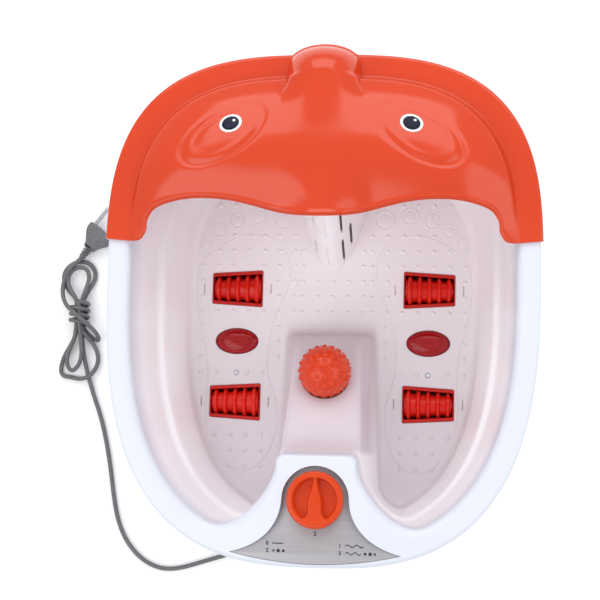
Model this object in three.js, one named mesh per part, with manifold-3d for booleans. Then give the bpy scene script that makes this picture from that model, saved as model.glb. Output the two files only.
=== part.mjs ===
// A foot spa basin: a moulded tub with two foot wells and a centre island, a lift-off splash hood,
// massage rollers and a ball, infrared lamps, a heater, a bubble blower and a mains lead.
// Millimetres, +Z up. X is to the right, -Y is the front where the control knob is.

import * as THREE from "three";
import Module from "manifold-3d";
import { mergeVertices } from "three/addons/utils/BufferGeometryUtils.js";

const wasm = await Module();
wasm.setup();

// ---------------------------------------------------------------- driving dimensions

const RIM_HALF_WIDTH = 170;
const RIM_BACK = 173;            // from the widest station to the back edge
const RIM_FRONT = 227;           // from the widest station to the front edge
const WIDEST_Y = 27;             // where the basin is widest
const BACK_POWER = 3.06;         // superellipse powers of the plan outline
const FRONT_POWER = 2.77;
const RIM_TOP = 150;
const RIM_UNDERSIDE = 146;
const LIP_BOTTOM = 139;
const FLOOR_TOP = 32;
const WALL = 3;
const GAP = 0.3;                 // between pieces that touch
const CENTRE_SHIFT_Y = -6;       // puts the origin under the middle of the body

const HOUSING_LIFT = 8;          // height of the control housing above the rim
const KNOB_Y = -148;
const KNOB_RADIUS = 22;
const KNOB_TOP = 162;
const PLATE_BOTTOM = 150.2;
const PLATE_TOP = 151.4;

const BALL = { y: -46, z: 97, core: 20.5, nub: 21.9 };
const ISLAND_SLOPE = 0.54;       // radians, the rise of the island's top towards the knob

const ROLLER_STATIONS = [28.5, -69];
const ROLLER_X = 82.5;
const WINDOW = { x: 44, inner: 32, outer: 27 };
const ROLLER_Z = 25.2;
const ROLLER = { half: 20, core: 10.4, ring: 3.2, taper: 0.06 };
const LENS = { x: 82, y: -17, stretch: 1.65 };
const NOZZLE_Y = -44;

const BLOWER_Y = -95;
const BASE_TOP = 7.5;
const BASE_BOTTOM = 4.5;
const SCREW_PLACES = [[60, 100], [70, -122]];
const FOOT_PLACES = [[108, 108], [98, -108]];

const CORD_RADIUS = 1.9;
const HANK = { x: -229.5, low: -52, high: 54, halfWidth: 19.5, top: 20 };
const PLUG_START = [-228.5, 57.4];
const PLUG_DIRECTION = [0.61, 0.792];
const PLUG_Z = 7.2;

// ---------------------------------------------------------------- materials

function plastic(color, roughness = 0.3) {
  return new THREE.MeshStandardMaterial({ color, roughness, metalness: 0 });
}

function metal(color, roughness = 0.35) {
  return new THREE.MeshStandardMaterial({ color, roughness, metalness: 1 });
}

const MATERIAL = {
  white: plastic("#eceff6"),
  hood: plastic("#ee5428", 0.15),
  orange: plastic("#f0622f", 0.25),
  red: plastic("#d8261c", 0.3),
  darkRed: plastic("#8f1818", 0.25),
  lens: plastic("#a8142a", 0.1),
  eyeWhite: plastic("#f7f7f7", 0.2),
  pupil: plastic("#10162e", 0.1),
  silver: metal("#beb8bc", 0.4),
  steel: metal("#b9bbbe"),
  grey: plastic("#7c7c7c", 0.5),
  black: plastic("#2a2a2c", 0.5),
  rubber: plastic("#303034", 0.8),
  clear: plastic("#cfd6d8", 0.2),
};

// ---------------------------------------------------------------- solids

// A closed body from a list of triangles over a list of points, turned so its faces point out.
function closedBody(points, triangles) {
  let volume = 0;
  for (const [a, b, c] of triangles) {
    volume += points[a].dot(points[b].clone().cross(points[c]));
  }
  const index = triangles.flatMap(([a, b, c]) => (volume < 0 ? [a, c, b] : [a, b, c]));
  const geometry = new THREE.BufferGeometry().setFromPoints(points);
  geometry.setIndex(index);
  return geometry;
}

function capTriangles(ring, first, flat) {
  const triangles = THREE.ShapeUtils.triangulateShape(ring.map(flat), []);
  return triangles.map((triangle) => triangle.map((corner) => first + corner));
}

// A skin over rings of equal count, each a closed loop, with both ends capped.
function loft(rings, flat = (p) => new THREE.Vector2(p.x, p.y)) {
  const count = rings[0].length;
  const points = rings.flat();
  const triangles = [];
  for (let r = 0; r + 1 < rings.length; r += 1) {
    for (let i = 0; i < count; i += 1) {
      const a = r * count + i;
      const b = r * count + ((i + 1) % count);
      triangles.push([a, b, b + count], [a, b + count, a + count]);
    }
  }
  // Which way the first cap's triangles run along the loop tells how both caps must face.
  const firstCap = capTriangles(rings[0], 0, flat);
  const lastCap = capTriangles(rings.at(-1), (rings.length - 1) * count, flat);
  const runsForward = (cap, start) =>
    cap.some((t) => t.some((v, k) => {
      const next = t[(k + 1) % 3];
      return v - start === 0 && next - start === 1;
    }));
  const face = (cap, start, forward) =>
    runsForward(cap, start) === forward ? cap : cap.map(([a, b, c]) => [a, c, b]);
  triangles.push(...face(firstCap, 0, false));
  triangles.push(...face(lastCap, (rings.length - 1) * count, true));
  return closedBody(points, triangles);
}

// A skin over rings that join back to the first, such as a band that runs round the basin.
function band(rings) {
  const count = rings[0].length;
  const triangles = [];
  for (let r = 0; r < rings.length; r += 1) {
    const next = (r + 1) % rings.length;
    for (let i = 0; i < count; i += 1) {
      const j = (i + 1) % count;
      triangles.push([r * count + i, r * count + j, next * count + j]);
      triangles.push([r * count + i, next * count + j, next * count + i]);
    }
  }
  return closedBody(rings.flat(), triangles);
}

function toSolid(geometry) {
  const bare = geometry.clone();
  bare.deleteAttribute("normal");
  bare.deleteAttribute("uv");
  const merged = mergeVertices(bare, 1e-4);
  return new wasm.Manifold(new wasm.Mesh({
    numProp: 3,
    vertProperties: new Float32Array(merged.attributes.position.array),
    triVerts: new Uint32Array(merged.index.array),
  }));
}

function toGeometry(solid) {
  const mesh = solid.getMesh();
  const geometry = new THREE.BufferGeometry();
  geometry.setAttribute("position", new THREE.BufferAttribute(mesh.vertProperties.slice(), 3));
  geometry.setIndex(new THREE.BufferAttribute(mesh.triVerts.slice(), 1));
  return geometry;
}

function cut(geometry, ...tools) {
  return toGeometry(tools.reduce((body, tool) => body.subtract(toSolid(tool)), toSolid(geometry)));
}

function join(geometry, ...others) {
  return toGeometry(others.reduce((body, other) => body.add(toSolid(other)), toSolid(geometry)));
}

function overlap(geometry, other) {
  return toGeometry(toSolid(geometry).intersect(toSolid(other)));
}

// An upright cylinder or cone between two heights.
function upright(x, y, low, high, radius, sides = 16, topRadius = radius) {
  const geometry = new THREE.CylinderGeometry(topRadius, radius, high - low, sides);
  geometry.rotateX(Math.PI / 2);
  return geometry.translate(x, y, (low + high) / 2);
}

function block(x, y, low, high, sizeX, sizeY) {
  return new THREE.BoxGeometry(sizeX, sizeY, high - low).translate(x, y, (low + high) / 2);
}

// A turned piece about +Z from [radius, height] pairs that start and end on the axis.
function turned(profile, sides = 24) {
  const points = profile.map(([r, z]) => new THREE.Vector2(r, z));
  const upwards = THREE.ShapeUtils.area(points) > 0;
  const geometry = new THREE.LatheGeometry(upwards ? points : points.reverse(), sides);
  return geometry.rotateX(Math.PI / 2);
}

function rod(points, radius, sides, steps) {
  const section = new THREE.Shape();
  for (let i = 0; i < sides; i += 1) {
    const angle = (i / sides) * 2 * Math.PI;
    const move = i === 0 ? "moveTo" : "lineTo";
    section[move](radius * Math.cos(angle), radius * Math.sin(angle));
  }
  const path = new THREE.CatmullRomCurve3(points.map(([x, y, z]) => new THREE.Vector3(x, y, z)));
  return new THREE.ExtrudeGeometry(section, { steps, bevelEnabled: false, extrudePath: path });
}

function smoothstep(low, high, value) {
  return THREE.MathUtils.smoothstep(value, low, high);
}

// ---------------------------------------------------------------- the basin's outlines

const ARC_POINTS = 16;           // on half of the outer wall
const CORNER_POINTS = 4;         // round the front corner of a foot well
const SIDE_POINTS = 3;           // along the island's flank
const TIP_POINTS = 3;            // round the island's nose

function superPoint(angle, halfWidth, back, front) {
  const power = angle >= 0 ? BACK_POWER : FRONT_POWER;
  const reach = angle >= 0 ? back : -front;
  const x = halfWidth * Math.cos(angle) ** (2 / power);
  const y = WIDEST_Y + reach * Math.abs(Math.sin(angle)) ** (2 / power);
  return new THREE.Vector2(x, y);
}

function mirrorLoop(half) {
  const left = half.slice(1, -1).reverse().map((p) => new THREE.Vector2(-p.x, p.y));
  return half.concat(left);
}

// The angle on the outer wall at which a foot well's front corner starts.
function cornerAngle(level) {
  const x = level.flank + 1.25 * level.fillet;
  return -Math.acos((x / level.halfWidth) ** (FRONT_POWER / 2));
}

// One level of the basin's inside: the outer wall with a notch where the island stands.
// grow moves the whole contour outwards into the plastic.
function basinContour(level, grow) {
  const grown = {
    ...level,
    halfWidth: level.halfWidth + grow,
    back: level.back + grow,
    front: level.front + grow,
    flank: level.flank - grow,
    tip: level.tip - grow,
    tipY: level.tipY - grow,
  };
  const last = cornerAngle(grown);
  const half = [];
  for (let i = 0; i < ARC_POINTS; i += 1) {
    const angle = Math.PI / 2 + (last - Math.PI / 2) * (i / (ARC_POINTS - 1));
    half.push(superPoint(angle, grown.halfWidth, grown.back, grown.front));
  }
  half[0].x = 0;
  const start = half.at(-1);
  const flankStart = new THREE.Vector2(grown.flank, start.y + grown.fillet);
  const along = start.clone().sub(half.at(-2)).normalize().multiplyScalar(0.55 * grown.fillet);
  const corner = new THREE.CubicBezierCurve(
    start,
    start.clone().add(along),
    flankStart.clone().add(new THREE.Vector2(0.06 * grown.fillet, -0.5 * grown.fillet)),
    flankStart,
  );
  half.push(...corner.getPoints(CORNER_POINTS).slice(1));
  const roundness = grown.round;
  const flankEnd = new THREE.Vector2(grown.tip, grown.tipY - roundness);
  for (let i = 1; i <= SIDE_POINTS; i += 1) {
    half.push(flankStart.clone().lerp(flankEnd, i / SIDE_POINTS));
  }
  for (let i = 1; i <= TIP_POINTS; i += 1) {
    const angle = (i / TIP_POINTS) * (Math.PI / 2);
    const x = grown.tip - roundness + roundness * Math.cos(angle);
    half.push(new THREE.Vector2(x, grown.tipY - roundness + roundness * Math.sin(angle)));
  }
  half.push(new THREE.Vector2(0, grown.tipY));
  return mirrorLoop(half);
}

// How far out a rim point lies, for the i-th point of the notch round the island.
function rimAcross(i, start, flank) {
  const spans = [
    [CORNER_POINTS, start, 0.95 * flank], [SIDE_POINTS, 0.95 * flank, 0.55 * flank],
    [TIP_POINTS, 0.55 * flank, 0.3 * flank], [1, 0.3 * flank, 0],
  ];
  let rest = i;
  for (const [count, first, last] of spans) {
    if (rest <= count) {
      return THREE.MathUtils.lerp(first, last, rest / count);
    }
    rest -= count;
  }
  return 0;
}

// The rim's plan outline, with as many points as a basin contour so that the two can be skinned.
function rimContour(inset, level) {
  const halfWidth = RIM_HALF_WIDTH - inset;
  const last = cornerAngle(level);
  const start = halfWidth * Math.cos(last) ** (2 / FRONT_POWER);
  const rest = CORNER_POINTS + SIDE_POINTS + TIP_POINTS + 1;
  const half = [];
  for (let i = 0; i < ARC_POINTS + rest; i += 1) {
    const across = i < ARC_POINTS ? start : rimAcross(i - ARC_POINTS + 1, start, level.flank);
    const angle = i < ARC_POINTS
      ? Math.PI / 2 + (last - Math.PI / 2) * (i / (ARC_POINTS - 1))
      : -Math.acos((across / halfWidth) ** (FRONT_POWER / 2));
    half.push(superPoint(angle, halfWidth, RIM_BACK - inset, RIM_FRONT - inset));
  }
  half[0].x = 0;
  half.at(-1).x = 0;
  return mirrorLoop(half);
}

// Levels of the wet side, from the floor to the rim's inner edge.
// tip and tipY are the island's half width and end, flank its half width at the front wall.
const LEVELS = [
  { z: 32, halfWidth: 123, back: 110, front: 192, flank: 43, tip: 39, tipY: -10, fillet: 16, round: 9 },
  { z: 60, halfWidth: 129, back: 121, front: 197, flank: 40.5, tip: 31, tipY: -17, fillet: 21, round: 8 },
  { z: 70, halfWidth: 131.5, back: 125, front: 199, flank: 39.5, tip: 28, tipY: -24, fillet: 24, round: 7 },
  { z: 88, halfWidth: 136, back: 132, front: 201, flank: 37.8, tip: 29, tipY: -54, fillet: 28, round: 7 },
  { z: 91, halfWidth: 140, back: 136, front: 203, flank: 37.5, tip: 29.5, tipY: -59, fillet: 29, round: 7 },
  { z: 104, halfWidth: 143, back: 142, front: 205, flank: 36, tip: 31, tipY: -81, fillet: 33, round: 7 },
  { z: 118, halfWidth: 146, back: 147, front: 206.5, flank: 34, tip: 32, tipY: -104, fillet: 37, round: 7 },
  { z: 126, halfWidth: 148, back: 149, front: 207.5, flank: 33, tip: 31.8, tipY: -111, fillet: 40, round: 7 },
  { z: 143, halfWidth: 151.5, back: 154, front: 209, flank: 31.6, tip: 31.6, tipY: -113, fillet: 43, round: 7 },
  { z: 148, halfWidth: 154, back: 157, front: 211, flank: 31, tip: 31, tipY: -114, fillet: 44, round: 7 },
  { z: 150, halfWidth: 158, back: 161, front: 215, flank: 29, tip: 29, tipY: -116, fillet: 45, round: 6 },
];
const TOP_LEVEL = LEVELS.at(-1);

// How far the rim rises into the control housing at a point of the plan.
function housingLift(x, y) {
  const acrossFade = 1 - smoothstep(36, 100, Math.abs(x));
  const frontFade = THREE.MathUtils.clamp((y + 205) / 45, 0, 1);
  return y < 0 ? HOUSING_LIFT * acrossFade * frontFade : 0;
}

function raise(contour, z) {
  const share = smoothstep(122, 148, z);
  return contour.map((p) => new THREE.Vector3(p.x, p.y, z + share * housingLift(p.x, p.y)));
}

function level(contour, z) {
  return contour.map((p) => new THREE.Vector3(p.x, p.y, z));
}

// ---------------------------------------------------------------- tub

function tubSkin() {
  const wet = LEVELS.map((l) => raise(basinContour(l, 0), l.z));
  const rim = [
    raise(rimContour(8, TOP_LEVEL), RIM_TOP),
    raise(rimContour(2, TOP_LEVEL), RIM_TOP),
    level(rimContour(0, TOP_LEVEL), RIM_TOP - 2),
    level(rimContour(0, TOP_LEVEL), LIP_BOTTOM),
    level(rimContour(2.2, TOP_LEVEL), LIP_BOTTOM),
    level(rimContour(2.2, TOP_LEVEL), RIM_UNDERSIDE),
    level(basinContour(LEVELS[8], WALL), RIM_UNDERSIDE),
  ];
  const dry = LEVELS.slice(1, 8).reverse().map((l) => level(basinContour(l, WALL), l.z));
  dry.push(level(basinContour(LEVELS[0], WALL), FLOOR_TOP - WALL));
  return loft([...wet, ...rim, ...dry]);
}

// The silver plate's outline: round behind the knob, flaring to two points along the front edge.
function plateOutline(grow) {
  const radius = 25.4 + grow;
  const shape = new THREE.Shape();
  shape.absarc(0, KNOB_Y, radius, 0, Math.PI, false);
  shape.bezierCurveTo(-radius - 1, -166, -38 - grow, -183 + grow, -65 - 2 * grow, -189);
  shape.quadraticCurveTo(0, -204.5 - 2 * grow, 65 + 2 * grow, -189);
  shape.bezierCurveTo(38 + grow, -183 + grow, radius + 1, -166, radius, KNOB_Y);
  return shape;
}

function plateSlab(grow, low, high, curveSegments) {
  const settings = { depth: high - low, bevelEnabled: false, curveSegments };
  return new THREE.ExtrudeGeometry(plateOutline(grow), settings).translate(0, 0, low);
}

// An upright prism over a roller's window, which is deeper at its inner end.
function windowPrism(side, grow, low, high) {
  const x = side * (WINDOW.x / 2 + grow);
  const inner = WINDOW.inner / 2 + grow;
  const outer = WINDOW.outer / 2 + grow;
  const shape = new THREE.Shape();
  shape.moveTo(-x, -inner);
  shape.lineTo(x, -outer);
  shape.lineTo(x, outer);
  shape.lineTo(-x, inner);
  return new THREE.ExtrudeGeometry(shape, { depth: high - low, bevelEnabled: false }).translate(0, 0, low);
}

function lensTurned(profile, x) {
  return turned(profile, 16).scale(LENS.stretch, 1, 1).translate(x, LENS.y, 0);
}

function tub() {
  const bosses = [];
  const openings = [
    new THREE.SphereGeometry(23, 16, 10).translate(0, BALL.y, BALL.z),
    upright(0, KNOB_Y, 140, 170, 5),
    plateSlab(0.4, PLATE_BOTTOM - GAP, 175, 6),
  ];
  for (const side of [-1, 1]) {
    for (const y of ROLLER_STATIONS) {
      openings.push(windowPrism(side, 0, 20, 40).translate(side * ROLLER_X, y, 0));
    }
    openings.push(lensTurned([[0, 20], [11, 20], [11, 40], [0, 40]], side * LENS.x));
    openings.push(upright(side * LENS.x, NOZZLE_Y, 20, 40, 2.2, 10));
    for (const [x, y] of SCREW_PLACES) {
      bosses.push(upright(side * x, y, BASE_TOP + 1, FLOOR_TOP - 1, 4.5, 12));
      openings.push(upright(side * x, y, 0, FLOOR_TOP - 5, 1.9, 10));
    }
  }
  return cut(join(tubSkin(), ...bosses), ...openings);
}

// ---------------------------------------------------------------- shell, base and feet

function outerShell() {
  const outer = [[18, BASE_BOTTOM - 0.5], [13, 60], [6.5, 132], [5, 145.4]];
  const inner = outer.map(([inset, z]) => [inset + 2.5, z]).reverse();
  const rings = [...outer, ...inner].map(([inset, z]) => level(rimContour(inset, TOP_LEVEL), z));
  const cordHole = turned([[0, -12], [4.9, -12], [4.9, 12], [0, 12]], 12);
  return cut(band(rings), placeOnGland(cordHole));
}

function basePlate() {
  const outline = rimContour(21.2, TOP_LEVEL);
  const slab = loft([level(outline, BASE_BOTTOM), level(outline, BASE_TOP)]);
  const holes = mirrored(SCREW_PLACES, (x, y) => upright(x, y, 0, 12, 2.2, 10));
  return cut(slab, ...holes);
}

function mirrored(places, make) {
  return places.flatMap(([x, y]) => [make(-x, y), make(x, y)]);
}

function rubberFoot(x, y) {
  return upright(x, y, 0, BASE_BOTTOM - GAP, 11, 16, 12.5);
}

function baseScrew(x, y) {
  const profile = [[0, 2.2], [3.8, 2.2], [3.8, 4.2], [1.5, 4.2], [1.5, 22], [0, 23]];
  return turned(profile, 10).translate(x, y, 0);
}

// ---------------------------------------------------------------- hood

const HOOD_REST = RIM_TOP + GAP;
const HOOD_THICK = 2.2;
const FLANGE = 17;
const HOOD_LAP = 1.8;            // how far the hood stands out past the rim
const NOSE = { halfWidth: 29, height: 33, level: 178, end: 210.2 };

// Points along the hood's front edge, from its right clip to the middle.
const HOOD_EDGE = [
  [148, 51], [142, 52.5], [138, 59], [137, 67], [131, 75], [118, 79.6], [102, 82],
  [84, 82], [67, 80], [50, 76.2], [36, 72.5], [21, 69.3], [8, 67.8], [0, 67.5],
];

// Distance of a point inside the rim's outline, near enough for a smooth surface.
function insetAt(x, y) {
  const across = Math.abs(x / RIM_HALF_WIDTH) ** BACK_POWER;
  const along = Math.abs((y - WIDEST_Y) / RIM_BACK) ** BACK_POWER;
  return RIM_HALF_WIDTH * (1 - (across + along) ** (1 / BACK_POWER));
}

function hoodTop(x, y) {
  const inset = insetAt(x, y);
  const share = THREE.MathUtils.clamp((inset - FLANGE) / 88, 0, 1);
  const rise = 30 * (1 - (1 - share) ** 2.2);
  const forward = THREE.MathUtils.clamp((135 - y) / 67, 0, 1.1);
  const step = 3 * smoothstep(FLANGE - 1, FLANGE + 2, inset) * smoothstep(60, 118, y);
  const dome = HOOD_REST + HOOD_THICK + step + rise * (1 - 0.35 * forward * forward);
  const across = Math.max(0, 1 - (x / NOSE.halfWidth) ** 2);
  const back = THREE.MathUtils.clamp((y - NOSE.level) / (NOSE.end - NOSE.level), 0, 1);
  const nose = HOOD_REST + NOSE.height * Math.sqrt(across) * Math.sqrt(1 - back ** 2.4);
  return Math.max(dome, y > 120 ? nose : 0);
}

// The hood's outer edge: the rim's outline, with the nose standing out behind.
function hoodOutline(angle, out) {
  const p = superPoint(angle, RIM_HALF_WIDTH + out, RIM_BACK + out, RIM_FRONT + out);
  const across = Math.max(0, 1 - (p.x / NOSE.halfWidth) ** 2);
  p.y += (NOSE.end - WIDEST_Y - RIM_BACK) * Math.sqrt(across);
  return p;
}

function hoodSection(angle, edge, steps) {
  const outer = hoodOutline(angle, HOOD_LAP);
  const inner = hoodOutline(angle, 0.5);
  const shoulder = hoodOutline(angle, -1);
  const bottom = RIM_TOP - 4;
  const top = [];
  const under = [];
  for (let i = 0; i <= steps; i += 1) {
    const share = (i / steps) ** 1.15;
    const p = shoulder.clone().lerp(edge, share);
    const z = hoodTop(p.x, p.y);
    top.push(new THREE.Vector3(p.x, p.y, z));
    under.push(new THREE.Vector3(p.x, p.y, z - HOOD_THICK));
  }
  const shoulderZ = top[0].z;
  return [
    new THREE.Vector3(inner.x, inner.y, bottom),
    new THREE.Vector3(outer.x, outer.y, bottom),
    new THREE.Vector3(outer.x, outer.y, shoulderZ - 1.2),
    ...top,
    ...under.reverse(),
    new THREE.Vector3(inner.x, inner.y, shoulderZ - HOOD_THICK),
  ];
}

function splashHood() {
  const edge = new THREE.CatmullRomCurve3(HOOD_EDGE.map(([x, y]) => new THREE.Vector3(x, y, 0)));
  const firstAngle = Math.asin((26 / RIM_BACK) ** (BACK_POWER / 2));
  const noseAngles = [31, 29, 27, 23, 16, 8, 0].map((x) =>
    Math.acos(Math.max(0, x / (RIM_HALF_WIDTH + 1)) ** (BACK_POWER / 2)));
  const sideSteps = 12;
  const angles = [];
  for (let i = 0; i < sideSteps; i += 1) {
    angles.push(firstAngle + (noseAngles[0] - firstAngle) * (i / sideSteps));
  }
  angles.push(...noseAngles);
  const half = angles.map((angle, i) => {
    const share = i < sideSteps ? 0.8 * (i / sideSteps) : 0.8 + 0.2 * ((i - sideSteps) / 6);
    const p = edge.getPointAt(share);
    return hoodSection(angle, new THREE.Vector2(p.x, p.y), 6);
  });
  const flip = (section) => section.map((p) => new THREE.Vector3(-p.x, p.y, p.z));
  const sections = [...half, ...half.slice(0, -1).reverse().map(flip)];
  return loft(sections, (p) => new THREE.Vector2(p.x, p.z));
}

// A thin oval patch that follows the hood's surface.
function hoodPatch(centreX, centreY, radiusX, radiusY, turn, low, high) {
  const sides = 14;
  const ring = (share, lift) => {
    const points = [];
    for (let i = 0; i < sides; i += 1) {
      const angle = (i / sides) * 2 * Math.PI;
      const u = share * radiusX * Math.cos(angle);
      const v = share * radiusY * Math.sin(angle);
      const x = centreX + u * Math.cos(turn) - v * Math.sin(turn);
      const y = centreY + u * Math.sin(turn) + v * Math.cos(turn);
      points.push(new THREE.Vector3(x, y, hoodTop(x, y) + lift));
    }
    return points;
  };
  return loft([ring(0.5, low), ring(1, low), ring(1, high), ring(0.5, high)]);
}

// ---------------------------------------------------------------- knob and switch

function controlPlate() {
  return cut(plateSlab(0, PLATE_BOTTOM, PLATE_TOP, 6), upright(0, KNOB_Y, 140, 170, 4.4));
}

function controlKnob() {
  const base = PLATE_TOP + 0.4;
  const dish = turned([
    [0, base], [KNOB_RADIUS - 0.6, base], [KNOB_RADIUS, base + 0.8], [KNOB_RADIUS - 0.6, KNOB_TOP - 1.2],
    [KNOB_RADIUS - 2, KNOB_TOP], [KNOB_RADIUS - 4, KNOB_TOP - 0.8], [KNOB_RADIUS - 5.5, KNOB_TOP - 4],
    [0, KNOB_TOP - 5],
  ], 24).translate(0, KNOB_Y, 0);
  const ridge = new THREE.Shape();
  ridge.moveTo(-2, 18.5);
  ridge.lineTo(-6, -19.5);
  ridge.lineTo(6, -19.5);
  ridge.lineTo(2, 18.5);
  const pointer = new THREE.ExtrudeGeometry(ridge, { depth: 5, bevelEnabled: false })
    .translate(0, KNOB_Y, KNOB_TOP - 5.5);
  return cut(join(dish, pointer), upright(0, KNOB_Y, 140, KNOB_TOP - 7, 3.4));
}

function switchShaft() {
  return upright(0, KNOB_Y, 124, KNOB_TOP - 7.4, 3, 12);
}

function switchBody() {
  const body = join(
    block(0, KNOB_Y, 118, 139, 27, 27),
    upright(0, KNOB_Y, 138, RIM_UNDERSIDE - GAP, 6.5),
  );
  return cut(body, upright(0, KNOB_Y, 123, 150, 3.5));
}

// ---------------------------------------------------------------- massage ball and its cup

// Centres of the nubs: rings round the ball's own vertical axis.
function nubDirections() {
  const directions = [new THREE.Vector3(0, 0, 1), new THREE.Vector3(0, 0, -1)];
  for (let ring = 1; ring < 6; ring += 1) {
    const polar = (ring / 6) * Math.PI;
    const count = Math.round(9 * Math.sin(polar));
    for (let i = 0; i < count; i += 1) {
      const turn = ((i + (ring % 2) / 2) / count) * 2 * Math.PI;
      directions.push(new THREE.Vector3().setFromSphericalCoords(1, polar, turn));
    }
  }
  return directions;
}

function massageBall() {
  const nubs = nubDirections().map((direction) => {
    const length = BALL.nub - BALL.core + 1.5;
    const nub = new THREE.CylinderGeometry(0.8, 2.2, length, 4).translate(0, BALL.nub - length / 2, 0);
    const turn = new THREE.Quaternion().setFromUnitVectors(new THREE.Vector3(0, 1, 0), direction);
    return nub.applyQuaternion(turn);
  });
  const core = new THREE.SphereGeometry(BALL.core, 14, 9);
  return join(core, ...nubs).translate(0, BALL.y, BALL.z);
}

function ballCup() {
  const shell = cut(new THREE.SphereGeometry(24.9, 20, 12), new THREE.SphereGeometry(22.8, 20, 12));
  const keep = new THREE.BoxGeometry(80, 80, 40).translate(0, 0, -38.5).rotateX(-ISLAND_SLOPE);
  return overlap(shell, keep).translate(0, BALL.y, BALL.z);
}

// ---------------------------------------------------------------- rollers

// The rings and the core taper towards the outer end.
function rollerBody(side) {
  const { half, core, ring, taper } = ROLLER;
  const coreAt = (along) => core - taper * (side * along + half);
  const profile = [[2.7, -half], [coreAt(-half), -half]];
  for (let i = 0; i < 5; i += 1) {
    const middle = -half + 3.4 + i * 8.3;
    const low = coreAt(middle);
    profile.push([low, middle - 1.8], [low + ring, middle - 1], [low + ring, middle + 1], [low, middle + 1.8]);
  }
  profile.push([coreAt(half), half], [2.7, half], [2.7, -half]);
  return turned(profile, 12).rotateY(Math.PI / 2);
}

function rollerAxle() {
  return new THREE.CylinderGeometry(2.2, 2.2, WINDOW.x - 1.4, 12).rotateZ(Math.PI / 2);
}

// A tray under the floor window: two end walls carry the axle.
function rollerCradle(side) {
  const low = BASE_TOP + 2 - ROLLER_Z;
  const high = FLOOR_TOP + 1 - ROLLER_Z;
  const flangeLow = FLOOR_TOP - WALL - 2 - ROLLER_Z;
  const outside = windowPrism(side, -0.35, low, high);
  const flange = windowPrism(side, 2.3, flangeLow, flangeLow + 1.6);
  const inside = windowPrism(side, -1.7, low + 1.5, high + 5);
  const axleSlot = new THREE.CylinderGeometry(2.6, 2.6, WINDOW.x - 1.2, 12).rotateZ(Math.PI / 2);
  return cut(join(outside, flange), inside, axleSlot);
}

// ---------------------------------------------------------------- lenses and lamps

function infraredLens(x) {
  return lensTurned([
    [0, 36], [5, 35.4], [9, 33.8], [10.6, 31.5], [10.6, 27], [13, 27], [13, 25], [9, 25], [9, 31.5],
    [0, 34],
  ], x);
}

function lensGasket(x) {
  const ring = [[11.2, 27.3], [12.8, 27.3], [12.8, 28.7], [11.2, 28.7], [11.2, 27.3]];
  return lensTurned(ring, x);
}

function infraredLamp(x) {
  return new THREE.CapsuleGeometry(4, 16, 3, 8).rotateZ(Math.PI / 2).translate(x, LENS.y, 19);
}

function lampHolder(x) {
  const frame = block(x, LENS.y, BASE_TOP + GAP, 20, 32, 12);
  return cut(frame, block(x, LENS.y, 11, 30, 25.5, 20));
}

// ---------------------------------------------------------------- heater

const GUARD = { apexY: 45, lean: 0.55, spread: 3.9, top: 132 };

// Half-cone that leans back against the toe-end wall, wider towards the wall.
function guardSolid(inset, low, high, back) {
  const rings = [low, (low + high) / 2, high].map((z) => {
    const apex = GUARD.apexY + GUARD.lean * (z - FLOOR_TOP) + inset;
    const reach = GUARD.spread * Math.sqrt(back - apex);
    const ring = [];
    for (let i = -6; i <= 6; i += 1) {
      const x = (i / 6) * reach;
      ring.push(new THREE.Vector3(x, apex + (x / GUARD.spread) ** 2, z));
    }
    return ring;
  });
  return loft(rings);
}

function heaterGuard() {
  const slots = [];
  for (const [x, low, high] of [[-14, 62, 78], [-6, 50, 68], [6, 50, 68], [14, 62, 78]]) {
    slots.push(block(x, 80, low, high, 1.8, 90));
    slots.push(block(x, 80, low + 28, high + 28, 1.8, 90));
  }
  const shell = guardSolid(0, FLOOR_TOP + GAP, GUARD.top, 132);
  return cut(shell, guardSolid(2.4, FLOOR_TOP - 5, GUARD.top - 2.2, 140), ...slots);
}

function heaterElement() {
  const bend = [
    [-9, 124, 50], [-9, 122, 70], [-9, 122, 95], [-6, 122, 106],
    [0, 122, 110], [6, 122, 106], [9, 122, 95], [9, 122, 70], [9, 124, 50],
  ];
  return rod(bend, 3, 8, 18);
}

function heaterBlock() {
  return block(0, 124, FLOOR_TOP + GAP, 49.5, 30, 12);
}

// ---------------------------------------------------------------- bubble blower

function blowerHousing() {
  const low = BASE_TOP + 1.5;
  return turned([[0, low], [28, low], [28, 38], [26, 38], [26, low + 2], [0, low + 2]], 18)
    .translate(0, BLOWER_Y, 0);
}

function blowerCover() {
  return cut(upright(0, BLOWER_Y, 38.3, 40.3, 28, 18), upright(0, BLOWER_Y, 30, 50, 6, 12));
}

function blowerMotor() {
  const can = turned([[0, 40.6], [15, 40.6], [16, 42], [16, 68], [13, 71], [0, 71]], 16);
  return cut(can.translate(0, BLOWER_Y, 0), upright(0, BLOWER_Y, 30, 50, 2, 10));
}

// The wheel is moulded on its shaft, which runs up into the motor.
function impeller() {
  const hub = upright(0, 0, 13, 34, 5, 16);
  const shaft = upright(0, 0, 30, 49, 1.5, 10);
  const disc = upright(0, 0, 13, 14.5, 22, 24);
  const blades = [];
  for (let i = 0; i < 8; i += 1) {
    const blade = new THREE.BoxGeometry(17, 1.4, 19).translate(12, 0, 24);
    blades.push(blade.rotateZ((i / 8) * 2 * Math.PI));
  }
  return join(hub, shaft, disc, ...blades).translate(0, BLOWER_Y, 0);
}

function airTube(side) {
  const path = [
    [29.4, -92, 22], [38, -88, 20], [47, -76, 17], [51, -62, 15], [56, -50, 15], [66, NOZZLE_Y, 16],
    [75, NOZZLE_Y, 17],
  ];
  return rod(path.map(([x, y, z]) => [side * x, y, z]), 3, 8, 12);
}

function bubbleNozzle(x) {
  return turned([[0, 10], [6.3, 10], [6.3, 28.6], [1.8, 28.6], [1.8, FLOOR_TOP + 0.4], [0, FLOOR_TOP + 0.4]], 12)
    .translate(x, NOZZLE_Y, 0);
}

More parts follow.
